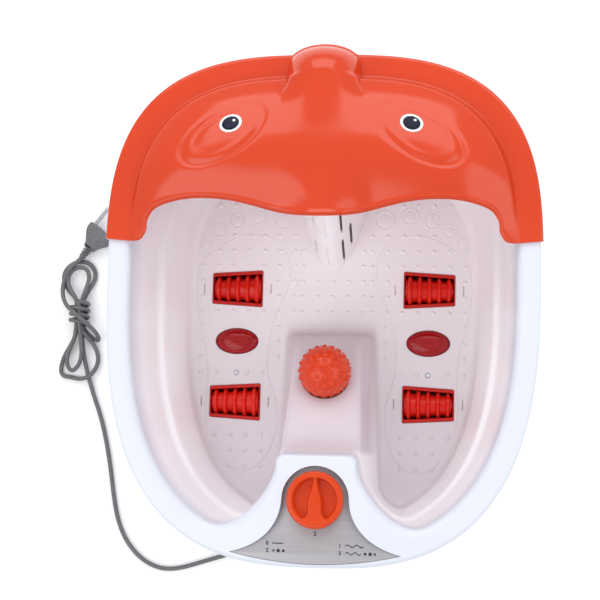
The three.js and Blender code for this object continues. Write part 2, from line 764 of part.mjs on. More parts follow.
// ---------------------------------------------------------------- mains lead

const GLAND = { x: -53, y: -172.5, z: 14, turn: Math.PI * 1.25 };

// Turns a piece made along +Z so that it points out of the shell where the lead leaves.
function placeOnGland(geometry) {
  return geometry.rotateY(Math.PI / 2).rotateZ(GLAND.turn).translate(GLAND.x, GLAND.y, GLAND.z);
}

function strainRelief() {
  return placeOnGland(turned([[0, -8], [6.5, -8], [6.5, -4.5], [4.2, -4.5], [4.2, 6], [2.4, 20], [0, 20]], 12));
}

// The lead where it lies free, from the strain relief to the tied bundle.
const LEAD_ROUTE = [
  [-67.36, -186.86, 14], [-71.5, -190.6, 13.2], [-77.5, -195, 10], [-86, -199, 5.5], [-98, -203, 2.6],
  [-114, -208, 2.3], [-132, -213.5, 2.3], [-149, -214, 2.3], [-165, -206.5, 2.3], [-178, -193, 2.3],
  [-187, -175, 2.3], [-192, -153, 2.3], [-195.5, -130, 2.3], [-200, -107, 2.3], [-206, -84, 2.3],
  [-212.5, -67, 2.6], [-217.1, -52.6, 3.4],
];

function powerCord() {
  return rod(LEAD_ROUTE, CORD_RADIUS, 8, 40);
}

function cordBundle() {
  const outline = new THREE.Shape();
  const radius = HANK.halfWidth;
  outline.absarc(HANK.x, HANK.high - radius, radius, 0, Math.PI, false);
  outline.absarc(HANK.x, HANK.low + radius, radius, Math.PI, 2 * Math.PI, false);
  const settings = { depth: HANK.top - GAP, bevelEnabled: false, curveSegments: 7 };
  return new THREE.ExtrudeGeometry(outline, settings).translate(0, 0, GAP);
}

// Places a piece made along +X, from the lead's end, so that it lies beside the basin.
function placeOnPlug(geometry) {
  const turn = Math.atan2(PLUG_DIRECTION[1], PLUG_DIRECTION[0]);
  return geometry.rotateZ(turn).translate(PLUG_START[0], PLUG_START[1], PLUG_Z);
}

function plugBody() {
  const outline = new THREE.Shape();
  outline.moveTo(9, -4.5);
  outline.lineTo(14, -6);
  outline.quadraticCurveTo(22, -12.5, 29, -12.8);
  outline.quadraticCurveTo(32, -12.8, 32, -9);
  outline.lineTo(32, 9);
  outline.quadraticCurveTo(32, 12.8, 29, 12.8);
  outline.quadraticCurveTo(22, 12.5, 14, 6);
  outline.lineTo(9, 4.5);
  const body = new THREE.ExtrudeGeometry(outline, {
    depth: 9, bevelEnabled: true, bevelThickness: 2, bevelSize: 1.4, bevelOffset: -1.4,
    bevelSegments: 1, curveSegments: 4,
  }).translate(0, 0, -4.5);
  const relief = turned([[0, 0], [2.9, 0], [4.4, 12], [0, 12]], 10).rotateY(Math.PI / 2);
  return placeOnPlug(join(body, relief));
}

function plugPin(side) {
  const pin = new THREE.CapsuleGeometry(2, 16, 3, 10).rotateZ(Math.PI / 2);
  return placeOnPlug(pin.translate(32 + 10.4, side * 9.2, 0));
}

// ---------------------------------------------------------------- assembly

const spa = new THREE.Group();
spa.position.y = CENTRE_SHIFT_Y;

function addTo(parent, name, geometry, material) {
  const mesh = new THREE.Mesh(geometry, material);
  mesh.name = name;
  parent.add(mesh);
  return mesh;
}

function addHousing() {
  addTo(spa, "tub", tub(), MATERIAL.white);
  addTo(spa, "outer_shell", outerShell(), MATERIAL.white);
  addTo(spa, "base_plate", basePlate(), MATERIAL.white);
  const corners = ["left_back", "right_back", "left_front", "right_front"];
  mirrored(FOOT_PLACES, rubberFoot).forEach((geometry, i) => {
    addTo(spa, `rubber_foot_${corners[i]}`, geometry, MATERIAL.rubber);
  });
  mirrored(SCREW_PLACES, baseScrew).forEach((geometry, i) => {
    addTo(spa, `base_screw_${corners[i]}`, geometry, MATERIAL.steel);
  });
}

function addHood() {
  const hood = new THREE.Group();
  addTo(hood, "splash_hood", splashHood(), MATERIAL.hood);
  for (const [side, word] of [[-1, "left"], [1, "right"]]) {
    const turn = side * -0.35;
    const white = hoodPatch(side * 70, 140, 9, 7, turn, GAP, GAP + 0.7);
    const pupil = hoodPatch(side * 70, 140, 6.9, 5.4, turn, GAP + 1.05, GAP + 1.9);
    addTo(hood, `eye_white_${word}`, white, MATERIAL.eyeWhite);
    addTo(hood, `eye_pupil_${word}`, pupil, MATERIAL.pupil);
  }
  spa.add(hood);
}

function addControls() {
  addTo(spa, "control_plate", controlPlate(), MATERIAL.silver);
  addTo(spa, "control_knob", controlKnob(), MATERIAL.orange);
  addTo(spa, "switch_shaft", switchShaft(), MATERIAL.steel);
  addTo(spa, "switch_body", switchBody(), MATERIAL.black);
}

function addMassage() {
  addTo(spa, "massage_ball", massageBall(), MATERIAL.orange);
  addTo(spa, "ball_cup", ballCup(), MATERIAL.clear);
  for (const [side, sideWord] of [[-1, "left"], [1, "right"]]) {
    ROLLER_STATIONS.forEach((y, i) => {
      const word = `${i === 0 ? "toe" : "heel"}_${sideWord}`;
      const station = new THREE.Group();
      station.position.set(side * ROLLER_X, y, ROLLER_Z);
      addTo(station, `massage_roller_${word}`, rollerBody(side), MATERIAL.red);
      addTo(station, `roller_axle_${word}`, rollerAxle(), MATERIAL.steel);
      addTo(station, `roller_cradle_${word}`, rollerCradle(side), MATERIAL.darkRed);
      spa.add(station);
    });
    const x = side * LENS.x;
    addTo(spa, `infrared_lens_${sideWord}`, infraredLens(x), MATERIAL.lens);
    addTo(spa, `lens_gasket_${sideWord}`, lensGasket(x), MATERIAL.rubber);
    addTo(spa, `infrared_lamp_${sideWord}`, infraredLamp(x), MATERIAL.clear);
    addTo(spa, `lamp_holder_${sideWord}`, lampHolder(x), MATERIAL.black);
    addTo(spa, `air_tube_${sideWord}`, airTube(side), MATERIAL.clear);
    addTo(spa, `bubble_nozzle_${sideWord}`, bubbleNozzle(x), MATERIAL.white);
  }
}

function addWorks() {
  addTo(spa, "heater_guard", heaterGuard(), MATERIAL.white);
  addTo(spa, "heater_element", heaterElement(), MATERIAL.steel);
  addTo(spa, "heater_block", heaterBlock(), MATERIAL.black);
  addTo(spa, "blower_housing", blowerHousing(), MATERIAL.black);
  addTo(spa, "blower_cover", blowerCover(), MATERIAL.black);
  addTo(spa, "blower_motor", blowerMotor(), MATERIAL.steel);
  addTo(spa, "impeller", impeller(), MATERIAL.clear);
  addTo(spa, "terminal_block", block(0, -158, BASE_TOP + 1.5, 24, 26, 14), MATERIAL.clear);
}

function addLead() {
  addTo(spa, "strain_relief", strainRelief(), MATERIAL.grey);
  addTo(spa, "power_cord", powerCord(), MATERIAL.grey);
  addTo(spa, "cord_bundle", cordBundle(), MATERIAL.grey);
  addTo(spa, "plug_body", plugBody(), MATERIAL.grey);
  addTo(spa, "plug_pin_left", plugPin(1), MATERIAL.steel);
  addTo(spa, "plug_pin_right", plugPin(-1), MATERIAL.steel);
}

addHousing();
addHood();
addControls();
addMassage();
addWorks();
addLead();

export default spa;
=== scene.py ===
from math import acos, asin, cos, exp, hypot, pi, radians, sin, sqrt

import bpy
import bmesh
from mathutils import Matrix, Vector

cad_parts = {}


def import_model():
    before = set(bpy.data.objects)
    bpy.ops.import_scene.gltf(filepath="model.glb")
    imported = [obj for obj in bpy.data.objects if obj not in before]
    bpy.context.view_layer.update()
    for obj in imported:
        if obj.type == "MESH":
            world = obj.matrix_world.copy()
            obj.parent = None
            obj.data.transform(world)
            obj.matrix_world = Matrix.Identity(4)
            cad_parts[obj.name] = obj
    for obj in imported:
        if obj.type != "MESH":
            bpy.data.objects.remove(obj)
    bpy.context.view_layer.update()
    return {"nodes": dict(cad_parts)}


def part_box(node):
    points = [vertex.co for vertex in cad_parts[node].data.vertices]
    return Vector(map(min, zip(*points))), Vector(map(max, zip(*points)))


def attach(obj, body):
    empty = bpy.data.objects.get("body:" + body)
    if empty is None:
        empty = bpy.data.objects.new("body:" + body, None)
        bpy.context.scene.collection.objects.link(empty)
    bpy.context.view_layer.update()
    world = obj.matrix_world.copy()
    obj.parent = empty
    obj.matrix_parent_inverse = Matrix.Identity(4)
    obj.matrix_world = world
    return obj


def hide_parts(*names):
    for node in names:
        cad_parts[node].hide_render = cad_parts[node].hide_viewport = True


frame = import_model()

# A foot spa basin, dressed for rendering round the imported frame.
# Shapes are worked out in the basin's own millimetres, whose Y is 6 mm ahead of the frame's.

MM = 0.001
CENTRE_SHIFT_Y = -6.0
AXIS_GAP = 0.002         # the radius at which a turned body closes on its axis

# ---------------- driving dimensions, mm

RIM_HALF_WIDTH = 170.0
RIM_BACK = 173.0
RIM_FRONT = 227.0
WIDEST_Y = 27.0
BACK_POWER = 3.06
FRONT_POWER = 2.77
RIM_TOP = 150.0
RIM_UNDERSIDE = 146.0
LIP_BOTTOM = 139.0
FLOOR_TOP = 32.0
WALL = 3.0
HOUSING_LIFT = 8.0

KNOB_Y = -148.0
KNOB_TOP = 162.0
PLATE_BOTTOM = 150.2
PLATE_TOP = 151.4

BALL_Y = -46.0
BALL_Z = 97.0
BALL_CORE = 20.5
BALL_NUB = 21.9
BALL_SOCKET = 22.3

ROLLER_STATIONS = (28.5, -69.0)
ROLLER_X = 82.5
ROLLER_Z = 25.2
ROLLER_HALF = 20.0
ROLLER_CORE = 10.4
ROLLER_RING = 3.2
ROLLER_TAPER = 0.06
WINDOW_X = 44.0
WINDOW_INNER = 32.0
WINDOW_OUTER = 27.0
LENS_X = 82.0
LENS_Y = -17.0
LENS_STRETCH = 1.65
NOZZLE_Y = -44.0

HOOD_REST = 150.3
HOOD_THICK = 2.2
HOOD_LAP = 1.8
FLANGE = 17.0
NOSE_HALF_WIDTH = 29.0
NOSE_HEIGHT = 32.0
NOSE_LEVEL = 178.0
NOSE_END = 207.8
NOSE_ROUND = 16.0
NOSE_SEAM = 31.0

CORD_RADIUS = 1.9

SIDES = ((-1, "left"), (1, "right"))


# ---------------- small helpers

def world(x, y, z):
    return (x * MM, (y + CENTRE_SHIFT_Y) * MM, z * MM)


def clamp(value, low=0.0, high=1.0):
    return max(low, min(high, value))


def smoothstep(low, high, value):
    t = clamp((value - low) / (high - low))
    return t * t * (3 - 2 * t)


def mix(a, b, share):
    return a + (b - a) * share


def catmull(points, count, closed=False):
    """Points spread along a smooth curve through the given ones."""
    points = [Vector(p) for p in points]
    last = len(points) if closed else len(points) - 1
    result = []
    for i in range(count if closed else count + 1):
        place = i / count * last
        k = min(int(place), last - 1)
        t = place - k
        near = []
        for offset in (-1, 0, 1, 2):
            index = k + offset
            index = index % len(points) if closed else max(0, min(len(points) - 1, index))
            near.append(points[index])
        a, b, c, d = near
        result.append(0.5 * (2 * b + (c - a) * t + (2 * a - 5 * b + 4 * c - d) * t * t
                             + (3 * b - a - 3 * c + d) * t ** 3))
    return result


def bezier(a, b, c, d, t):
    return a * (1 - t) ** 3 + b * 3 * t * (1 - t) ** 2 + c * 3 * t * t * (1 - t) + d * t ** 3


def circle(radius, sides, x=0.0, y=0.0):
    """Points round a circle, anticlockwise from +X."""
    turns = [2 * pi * i / sides for i in range(sides)]
    return [(x + radius * cos(turn), y + radius * sin(turn)) for turn in turns]


# ---------------- mesh building

def new_object(name, mesh):
    obj = bpy.data.objects.new(name, mesh)
    bpy.context.scene.collection.objects.link(obj)
    return obj


def grid_faces(rings, count, wrap_rings=False):
    faces = []
    steps = rings if wrap_rings else rings - 1
    for r in range(steps):
        n = (r + 1) % rings
        for i in range(count):
            j = (i + 1) % count
            faces.append((r * count + i, r * count + j, n * count + j, n * count + i))
    return faces


class Shape:
    """Vertices in basin millimetres and faces, gathered from several closed bodies."""

    def __init__(self):
        self.points = []
        self.faces = []

    def add(self, points, faces):
        start = len(self.points)
        self.points.extend(points)
        self.faces.extend([tuple(v + start for v in face) for face in faces])
        return self

    def loft(self, rings, closed=False):
        """Joins rings of equal length in order, capped at both ends or closed into a loop."""
        count = len(rings[0])
        faces = grid_faces(len(rings), count, closed)
        if not closed:
            top = (len(rings) - 1) * count
            faces += [tuple(range(count - 1, -1, -1)), tuple(range(top, top + count))]
        return self.add([tuple(p) for ring in rings for p in ring], faces)

    def turned(self, profile, sides=48, centre=(0, 0, 0), turn=None):
        """A body of revolution about +Z from (radius, height) pairs."""
        rings = []
        for radius, height in profile:
            ring = [Vector((x, y, height)) for x, y in circle(max(radius, AXIS_GAP), sides)]
            rings.append([(p if turn is None else turn @ p) + Vector(centre) for p in ring])
        closed = profile[0] == profile[-1]
        return self.loft(rings[:-1] if closed else rings, closed=closed)

    def extruded(self, outline, low, high, bevel=0.0):
        """An upright prism over a plan outline, with its two rims rounded off."""
        stations = [(outline, low), (outline, high)]
        if bevel > 0:
            inner, soft = shrink(outline, bevel), shrink(outline, bevel * 0.3)
            stations = [(inner, low), (soft, low + 0.3 * bevel), (outline, low + bevel),
                        (outline, high - bevel), (soft, high - 0.3 * bevel), (inner, high)]
        return self.loft([[(x, y, z) for x, y in plan] for plan, z in stations])

    def object(self, name, smooth_degrees=40):
        mesh = bpy.data.meshes.new(name)
        mesh.from_pydata([world(*p) for p in self.points], [], self.faces)
        mesh.validate()
        tidy_normals(mesh, smooth_degrees)
        return new_object(name, mesh)

    def piece(self, name, smooth_degrees, look, replaces="", body="root"):
        return finish_piece(self.object(name, smooth_degrees), look, replaces, body)


def tidy_normals(mesh, smooth_degrees):
    work = bmesh.new()
    work.from_mesh(mesh)
    bmesh.ops.recalc_face_normals(work, faces=work.faces)
    work.to_mesh(mesh)
    work.free()
    mesh.shade_smooth()
    mesh.set_sharp_from_angle(angle=radians(smooth_degrees))
    mesh.update()


def shrink(outline, distance):
    """The plan outline moved inwards, each point along its own normal."""
    area = sum(a[0] * b[1] - b[0] * a[1] for a, b in zip(outline, outline[1:] + outline[:1]))
    sign = 1 if area > 0 else -1
    result = []
    for i, (x, y) in enumerate(outline):
        before = Vector(outline[i - 1])
        after = Vector(outline[(i + 1) % len(outline)])
        along = (after - before).normalized()
        result.append((x - sign * along.y * distance, y + sign * along.x * distance))
    return result


def cut_away(obj, cutters, smooth_degrees=40):
    """Cuts closed cutter objects out of obj and removes them."""
    for cutter in cutters:
        cutter_mod = obj.modifiers.new("cut", "BOOLEAN")
        cutter_mod.operation = "DIFFERENCE"
        cutter_mod.solver = "EXACT"
        cutter_mod.object = cutter
    depsgraph = bpy.context.evaluated_depsgraph_get()
    mesh = bpy.data.meshes.new_from_object(obj.evaluated_get(depsgraph))
    obj.modifiers.clear()
    obj.data = mesh
    for cutter in cutters:
        bpy.data.objects.remove(cutter)
    mesh.shade_smooth()
    mesh.set_sharp_from_angle(angle=radians(smooth_degrees))


def finish_piece(obj, look, replaces="", body="root"):
    """Gives the piece its material and body, and hides the CAD nodes that it stands in for."""
    obj.data.materials.clear()
    obj.data.materials.append(MATERIAL[look])
    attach(obj, body)
    if replaces:
        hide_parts(*replaces.split())
    return obj


# ---------------- materials

class Look:
    """A material under construction, with the nodes that feed its shader."""

    def __init__(self, name):
        self.material = bpy.data.materials.new(name)
        self.material.use_nodes = True
        self.nodes = self.material.node_tree.nodes
        self.shader = self.nodes["Principled BSDF"]

    def feed(self, node, inputs):
        """Links each input to the socket given for it, or sets it to the value given."""
        for name, value in inputs.items():
            if isinstance(value, bpy.types.NodeSocket):
                self.material.node_tree.links.new(value, node.inputs[name])
            else:
                node.inputs[name].default_value = value

    def node(self, kind, inputs, **settings):
        node = self.nodes.new("ShaderNode" + kind)
        for name, value in settings.items():
            setattr(node, name, value)
        self.feed(node, inputs)
        return node

    def texture(self, kind, inputs, stretch=None):
        place = self.node("TexCoord", {}).outputs["Object"]
        if stretch:
            place = self.node("Mapping", {"Vector": place, "Scale": stretch}).outputs["Vector"]
        return self.node("Tex" + kind, {"Vector": place, **inputs})

    def noise(self, scale, detail, stretch=None):
        return self.texture("Noise", {"Scale": scale, "Detail": detail}, stretch).outputs["Fac"]

    def ramp(self, source, *stops):
        node = self.node("ValToRGB", {"Fac": source})
        elements = node.color_ramp.elements
        while len(elements) < len(stops):
            elements.new(0.5)
        for element, (position, colour) in zip(elements, stops):
            element.position = position
            element.color = (*colour, 1)
        return node.outputs["Color"]

    def span(self, source, start, end):
        """A smooth 0 to 1 as source goes from start to end."""
        inputs = {"Value": source, "From Min": start, "From Max": end}
        return self.node("MapRange", inputs, interpolation_type="SMOOTHSTEP").outputs["Result"]

    def maths(self, operation, *sources):
        return self.node("Math", dict(enumerate(sources)), operation=operation).outputs["Value"]

    def multiplied(self, a, b, factor=1.0):
        inputs = {"Factor": factor, "A": a, "B": b}
        return self.node("Mix", inputs, data_type="RGBA", blend_type="MULTIPLY").outputs["Result"]

    def finish(self, colour, gloss, rough, relief, bump, depth, more=()):
        """Colour, a roughness spread between two values by gloss, and a bump from relief."""
        spread = {"Value": gloss, "From Min": 0.3, "From Max": 0.7, "To Min": rough[0], "To Max": rough[1]}
        uneven = self.node("Bump", {"Strength": bump, "Distance": depth, "Height": relief})
        self.feed(self.shader, {
            "Base Color": colour, "Roughness": self.node("MapRange", spread).outputs["Result"],
            "Normal": uneven.outputs["Normal"], **dict(more),
        })
        return self.material


def grey(value):
    return (value, value, value)


def moulded(name, dark, light, roughness=0.3, grain=60.0, bump=0.04, coat=0.0, shine=0.5):
    """Moulded plastic: slow drift of colour, uneven gloss and a faint moulding ripple."""
    look = Look(name)
    colour = look.ramp(look.noise(grain * 0.35, 2.0), (0.3, dark), (0.7, light))
    more = {"Coat Weight": coat, "Coat Roughness": 0.06, "Specular IOR Level": shine}
    return look.finish(colour, look.noise(grain * 2.0, 4.0), (roughness * 0.8, roughness * 1.25),
                       look.noise(grain, 1.0), bump, 0.0008, more)


def basin_white():
    """White plastic, with light painted in by height: a darker bluish painted shade on the rim and a warm
    pink-grey painted reflection of the orange hood down inside the wells.
    """
    look = Look("basin_white")
    position = look.node("NewGeometry", {}).outputs["Position"]
    x, y, z = look.node("SeparateXYZ", {"Vector": position}).outputs
    # painted light by height: a pink-grey painted reflection of the hood low in the wells, a darker bluish
    # painted shade on the rim
    depth = {"Value": z, "From Min": FLOOR_TOP * MM, "From Max": RIM_TOP * MM}
    painted_depth_tint = look.ramp(look.node("MapRange", depth).outputs["Result"],
                     (0.0, (0.96, 0.915, 0.945)), (0.4, (0.97, 0.945, 0.97)),
                     (0.77, (0.95, 0.905, 0.945)), (0.93, (0.705, 0.73, 0.815)))
    fleck = look.ramp(look.noise(18.0, 2.0), (0.35, grey(0.985)), (0.65, grey(1.0)))
    # painted shade: a little darker on the island's faces and along the floor towards the heels
    across = look.span(look.maths("ABSOLUTE", x), 0.042, 0.034)
    behind = look.span(y, -0.121, -0.114)
    island_shade = look.maths("MULTIPLY", look.maths("MULTIPLY", across, behind), look.span(y, 0.0, -0.03))
    heel_shade = look.maths("MULTIPLY", look.span(z, 0.05, 0.036), look.span(y, 0.04, -0.09))
    colour = look.multiplied(look.multiplied(painted_depth_tint, fleck), (0.68, 0.62, 0.65, 1), island_shade)
    colour = look.multiplied(colour, (0.79, 0.76, 0.77, 1), heel_shade)
    return look.finish(colour, look.noise(90.0, 4.0), (0.3, 0.42), look.noise(12.0, 1.0), 0.03, 0.0005)


def brushed(name, dark, light, roughness, metallic=1.0):
    """Metal brushed along X."""
    look = Look(name)
    lines = look.noise(8.0, 5.0, (4.0, 300.0, 60.0))
    return look.finish(look.ramp(lines, (0.3, dark), (0.7, light)), lines, (roughness * 0.8, roughness * 1.3),
                       lines, 0.08, 0.0002, {"Metallic": metallic})


def tinted_clear(name, dark, light, transmission, roughness):
    """Deep coloured clear plastic."""
    look = Look(name)
    drift = look.noise(55.0, 2.0)
    return look.finish(look.ramp(drift, (0.3, dark), (0.7, light)), look.noise(150.0, 3.0),
                       (roughness, roughness * 1.6), drift, 0.05, 0.0006,
                       {"Transmission Weight": transmission, "IOR": 1.49})


def lens_red():
    """Deep red window with a fine dotted grid moulded inside it."""
    look = Look("lens_red")
    dots = look.texture("Voronoi", {"Scale": 620.0, "Randomness": 0.15}).outputs["Distance"]
    colour = look.ramp(dots, (0.1, (0.5, 0.02, 0.02)), (0.55, (0.34, 0.006, 0.01)),
                       (0.9, (0.27, 0.004, 0.008)))
    return look.finish(colour, look.noise(150.0, 3.0), (0.05, 0.1), dots, 0.12, 0.0002,
                       {"Specular IOR Level": 0.3})


def cable_sheath(name, dark, light):
    """Soft grey cable sheath with fine scuffs."""
    look = Look(name)
    scuff = look.noise(420.0, 6.0)
    return look.finish(look.ramp(scuff, (0.35, dark), (0.65, light)), scuff, (0.38, 0.6), scuff, 0.12, 0.0002)


# Materials by the name that each piece asks for.
MATERIAL = {
    "white_plastic": basin_white(),
    "shell": moulded("shell_white", (0.73, 0.755, 0.83), (0.75, 0.775, 0.85), 0.42, 12.0, 0.01),
    "hood_orange": moulded("hood_orange", (0.62, 0.046, 0.007), (0.66, 0.052, 0.009), 0.16, 20.0, 0.03),
    "knob_orange": moulded("knob_orange", (0.62, 0.046, 0.005), (0.67, 0.058, 0.007), 0.22, 90.0, shine=0.3),
    "ball_orange": moulded("ball_orange", (0.62, 0.04, 0.007), (0.68, 0.05, 0.01), 0.18, 120.0, shine=0.35),
    "roller_red": moulded("roller_red", (0.74, 0.014, 0.006), (0.82, 0.020, 0.010), 0.25, 110.0, shine=0.3),
    "cradle_red": moulded("cradle_red", (0.56, 0.012, 0.008), (0.62, 0.016, 0.010), 0.25, 110.0, shine=0.3),
    "lens_red": lens_red(),
    "eye_white": moulded("eye_white", (0.84, 0.84, 0.85), (0.9, 0.9, 0.91), 0.15, 80.0, 0.02, coat=0.5),
    "eye_black": moulded("eye_black", (0.003, 0.006, 0.02), (0.006, 0.01, 0.03), 0.3, 80.0, 0.02, shine=0.2),
    "silver_plate": brushed("silver_plate", (0.38, 0.365, 0.38), (0.45, 0.435, 0.455), 0.42, 0.5),
    "ink": moulded("printed_ink", (0.012, 0.012, 0.014), (0.03, 0.03, 0.034), 0.45, 300.0, 0.03),
    "steel": brushed("plain_steel", (0.5, 0.5, 0.51), (0.62, 0.62, 0.63), 0.3),
    "cord_grey": cable_sheath("cord_grey", (0.115, 0.115, 0.118), (0.155, 0.155, 0.158)),
    "black_plastic": moulded("black_plastic", (0.02, 0.02, 0.022), (0.04, 0.04, 0.044), 0.5, 140.0, 0.08),
    "rubber": moulded("foot_rubber", (0.02, 0.02, 0.022), (0.045, 0.045, 0.05), 0.75, 200.0, 0.15),
    "clear_plastic": moulded("natural_plastic", (0.5, 0.54, 0.55), (0.62, 0.66, 0.67), 0.3, 90.0, 0.05),
    "lamp_glass": tinted_clear("lamp_glass", (0.7, 0.25, 0.2), (0.8, 0.35, 0.28), 0.6, 0.05),
}


# ---------------- camera, floor and light

def add_camera():
    """Stands over the front right of the basin and looks almost straight down."""
    tilt = Matrix.Rotation(radians(-6.41), 3, "X")
    roll = Matrix.Rotation(radians(-6.05), 3, "Y")
    spin = Matrix.Rotation(radians(-0.63), 3, "Z")
    into_camera = spin @ roll @ tilt
    data = bpy.data.cameras.new("camera")
    data.sensor_width = 36.0
    data.lens = 88.58
    data.clip_end = 20.0
    camera = bpy.data.objects.new("camera", data)
    stand = Matrix.Translation(world(105.5, -121.8, 1286.7))
    camera.matrix_world = stand @ into_camera.transposed().to_4x4()
    bpy.context.scene.collection.objects.link(camera)
    bpy.context.scene.camera = camera


def add_floor():
    mesh = bpy.data.meshes.new("studio_floor")
    reach = 4.0
    corners = [(x * reach, y * reach, 0) for x, y in ((-1, -1), (1, -1), (1, 1), (-1, 1))]
    mesh.from_pydata(corners, [], [(0, 1, 2, 3)])
    floor = new_object("studio_floor", mesh)
    look = Look("studio_floor")
    look.feed(look.shader, {
        "Base Color": look.ramp(look.noise(3.0, 2.0), (0.3, grey(0.93)), (0.7, grey(0.96))),
        "Roughness": 0.9, "Specular IOR Level": 0.1,
        "Emission Color": (1, 1, 1, 1), "Emission Strength": 0.1,
    })
    mesh.materials.append(look.material)


def area_light(name, place, target, size_x, size_y, power):
    data = bpy.data.lights.new(name, "AREA")
    data.shape = "RECTANGLE"
    data.size = size_x
    data.size_y = size_y
    data.energy = power
    light = bpy.data.objects.new(name, data)
    light.location = place
    light.rotation_euler = (Vector(target) - Vector(place)).to_track_quat("-Z", "Y").to_euler()
    bpy.context.scene.collection.objects.link(light)


def add_light():
    studio = bpy.context.scene.world or bpy.data.worlds.new("studio")
    bpy.context.scene.world = studio
    studio.use_nodes = True
    sky = studio.node_tree.nodes["Background"]
    sky.inputs["Color"].default_value = (0.97, 0.98, 1.0, 1)
    sky.inputs["Strength"].default_value = 0.64
    area_light("back_softbox", (0.0, 1.3, 1.2), (0, 0.1, 0.12), 1.8, 1.4, 15.0)
    area_light("key_softbox", (-0.9, -0.7, 1.5), (0, 0, 0.1), 1.6, 1.6, 13.0)
    area_light("right_softbox", (1.3, -0.3, 1.2), (0, 0, 0.1), 1.4, 1.4, 8.0)
    bpy.context.scene.view_settings.view_transform = "Standard"


# ---------------- the basin's outlines

ARC_POINTS = 96
CORNER_POINTS = 18
SIDE_POINTS = 26
TIP_POINTS = 10
END_POINTS = 10

# z, half width, back, front, island's half width at the wall, at its end, its end's y, corner
# size and end roundness; from the floor to where the rim starts to roll over.
LEVELS = [
    (32, 123, 110, 192, 43, 39, -10, 16, 9),
    (60, 129, 121, 197, 40.5, 31, -17, 21, 8),
    (70, 131.5, 125, 199, 39.5, 28, -24, 24, 7),
    (88, 136, 132, 201, 37.8, 29, -54, 28, 7),
    (91, 140, 136, 203, 37.5, 29.5, -59, 29, 7),
    (104, 143, 142, 205, 36, 31, -81, 33, 7),
    (118, 146, 147, 206.5, 34, 32, -104, 37, 7),
    (126, 148, 149, 207.5, 33, 31.8, -111, 40, 7),
    (143, 151.5, 154, 209, 31.6, 31.6, -113, 43, 7),
]


def monotone(column, z):
    """Smooth interpolation down one column of LEVELS, with no overshoot."""
    heights = [row[0] for row in LEVELS]
    values = [row[column] for row in LEVELS]
    if z <= heights[0]:
        return values[0]
    if z >= heights[-1]:
        return values[-1]
    slopes = [(values[i + 1] - values[i]) / (heights[i + 1] - heights[i]) for i in range(len(values) - 1)]
    tangents = [slopes[0]]
    for before, after in zip(slopes, slopes[1:]):
        together = before * after > 0
        tangents.append(2 * before * after / (before + after) if together else 0.0)
    tangents.append(slopes[-1])
    k = max(i for i in range(len(heights) - 1) if heights[i] <= z)
    step = heights[k + 1] - heights[k]
    t = (z - heights[k]) / step
    return ((2 * t ** 3 - 3 * t ** 2 + 1) * values[k] + (t ** 3 - 2 * t ** 2 + t) * step * tangents[k]
            + (3 * t ** 2 - 2 * t ** 3) * values[k + 1] + (t ** 3 - t ** 2) * step * tangents[k + 1])


def level_at(z):
    return [monotone(column, z) for column in range(1, 9)]


RIM_START = LEVELS[-1][0]
RIM_LEVEL = LEVELS[-1][1:]


def super_point(angle, half_width, back, front):
    power = BACK_POWER if angle >= 0 else FRONT_POWER
    reach = back if angle >= 0 else -front
    x = half_width * max(0.0, cos(angle)) ** (2 / power)
    y = WIDEST_Y + reach * abs(sin(angle)) ** (2 / power)
    return Vector((x, y))


def mirror_loop(half):
    return half + [Vector((-p.x, p.y)) for p in half[-2:0:-1]]


def corner_angle(half_width, flank, fillet):
    x = flank + 1.25 * fillet
    return -acos((x / half_width) ** (FRONT_POWER / 2))


def arc_angle(i, last):
    """Angles spread evenly from the middle of the back round to the front corner."""
    return pi / 2 + (last - pi / 2) * i / (ARC_POINTS - 1)


def basin_contour(values, grow=0.0, island_grow=None):
    """The wall's outline at one level, with a notch round the island."""
    island_grow = grow if island_grow is None else island_grow
    half_width, back, front, flank, tip, tip_y, fillet, roundness = values
    half_width, back, front = half_width + grow, back + grow, front + grow
    flank, tip, tip_y = flank - island_grow, tip - island_grow, tip_y - island_grow
    last = corner_angle(half_width, flank, fillet)
    half = [super_point(arc_angle(i, last), half_width, back, front) for i in range(ARC_POINTS)]
    half[0].x = 0
    start = half[-1]
    flank_start = Vector((flank, start.y + fillet))
    along = (start - half[-2]).normalized() * 0.55 * fillet
    handles = (start, start + along, flank_start + Vector((0.06 * fillet, -0.5 * fillet)), flank_start)
    for i in range(1, CORNER_POINTS + 1):
        half.append(bezier(*handles, i / CORNER_POINTS))
    flank_end = Vector((tip, tip_y - roundness))
    for i in range(1, SIDE_POINTS + 1):
        half.append(flank_start.lerp(flank_end, i / SIDE_POINTS))
    for i in range(1, TIP_POINTS + 1):
        angle = i / TIP_POINTS * pi / 2
        half.append(Vector((tip - roundness + roundness * cos(angle),
                            tip_y - roundness + roundness * sin(angle))))
    for i in range(1, END_POINTS + 1):
        half.append(Vector(((tip - roundness) * (1 - i / END_POINTS), tip_y)))
    return mirror_loop(half)


def rim_across(i, start, flank):
    """How far out a rim point lies, for the i-th point of the notch round the island."""
    spans = [(CORNER_POINTS, start, 0.95 * flank), (SIDE_POINTS, 0.95 * flank, 0.55 * flank),
             (TIP_POINTS, 0.55 * flank, 0.3 * flank), (END_POINTS, 0.3 * flank, 0.0)]
    for count, first, last in spans:
        if i <= count:
            return mix(first, last, i / count)
        i -= count
    return 0.0


def rim_contour(inset, values):
    """The rim's plan outline, point for point beside a basin contour."""
    half_width = RIM_HALF_WIDTH - inset
    last = corner_angle(values[0], values[3], values[6])
    start = half_width * cos(last) ** (2 / FRONT_POWER)
    rest = CORNER_POINTS + SIDE_POINTS + TIP_POINTS + END_POINTS
    half = []
    for i in range(ARC_POINTS + rest):
        if i < ARC_POINTS:
            angle = arc_angle(i, last)
        else:
            across = rim_across(i - ARC_POINTS + 1, start, values[3])
            angle = -acos((across / half_width) ** (FRONT_POWER / 2))
        half.append(super_point(angle, half_width, RIM_BACK - inset, RIM_FRONT - inset))
    half[0].x = 0
    half[-1].x = 0
    return mirror_loop(half)


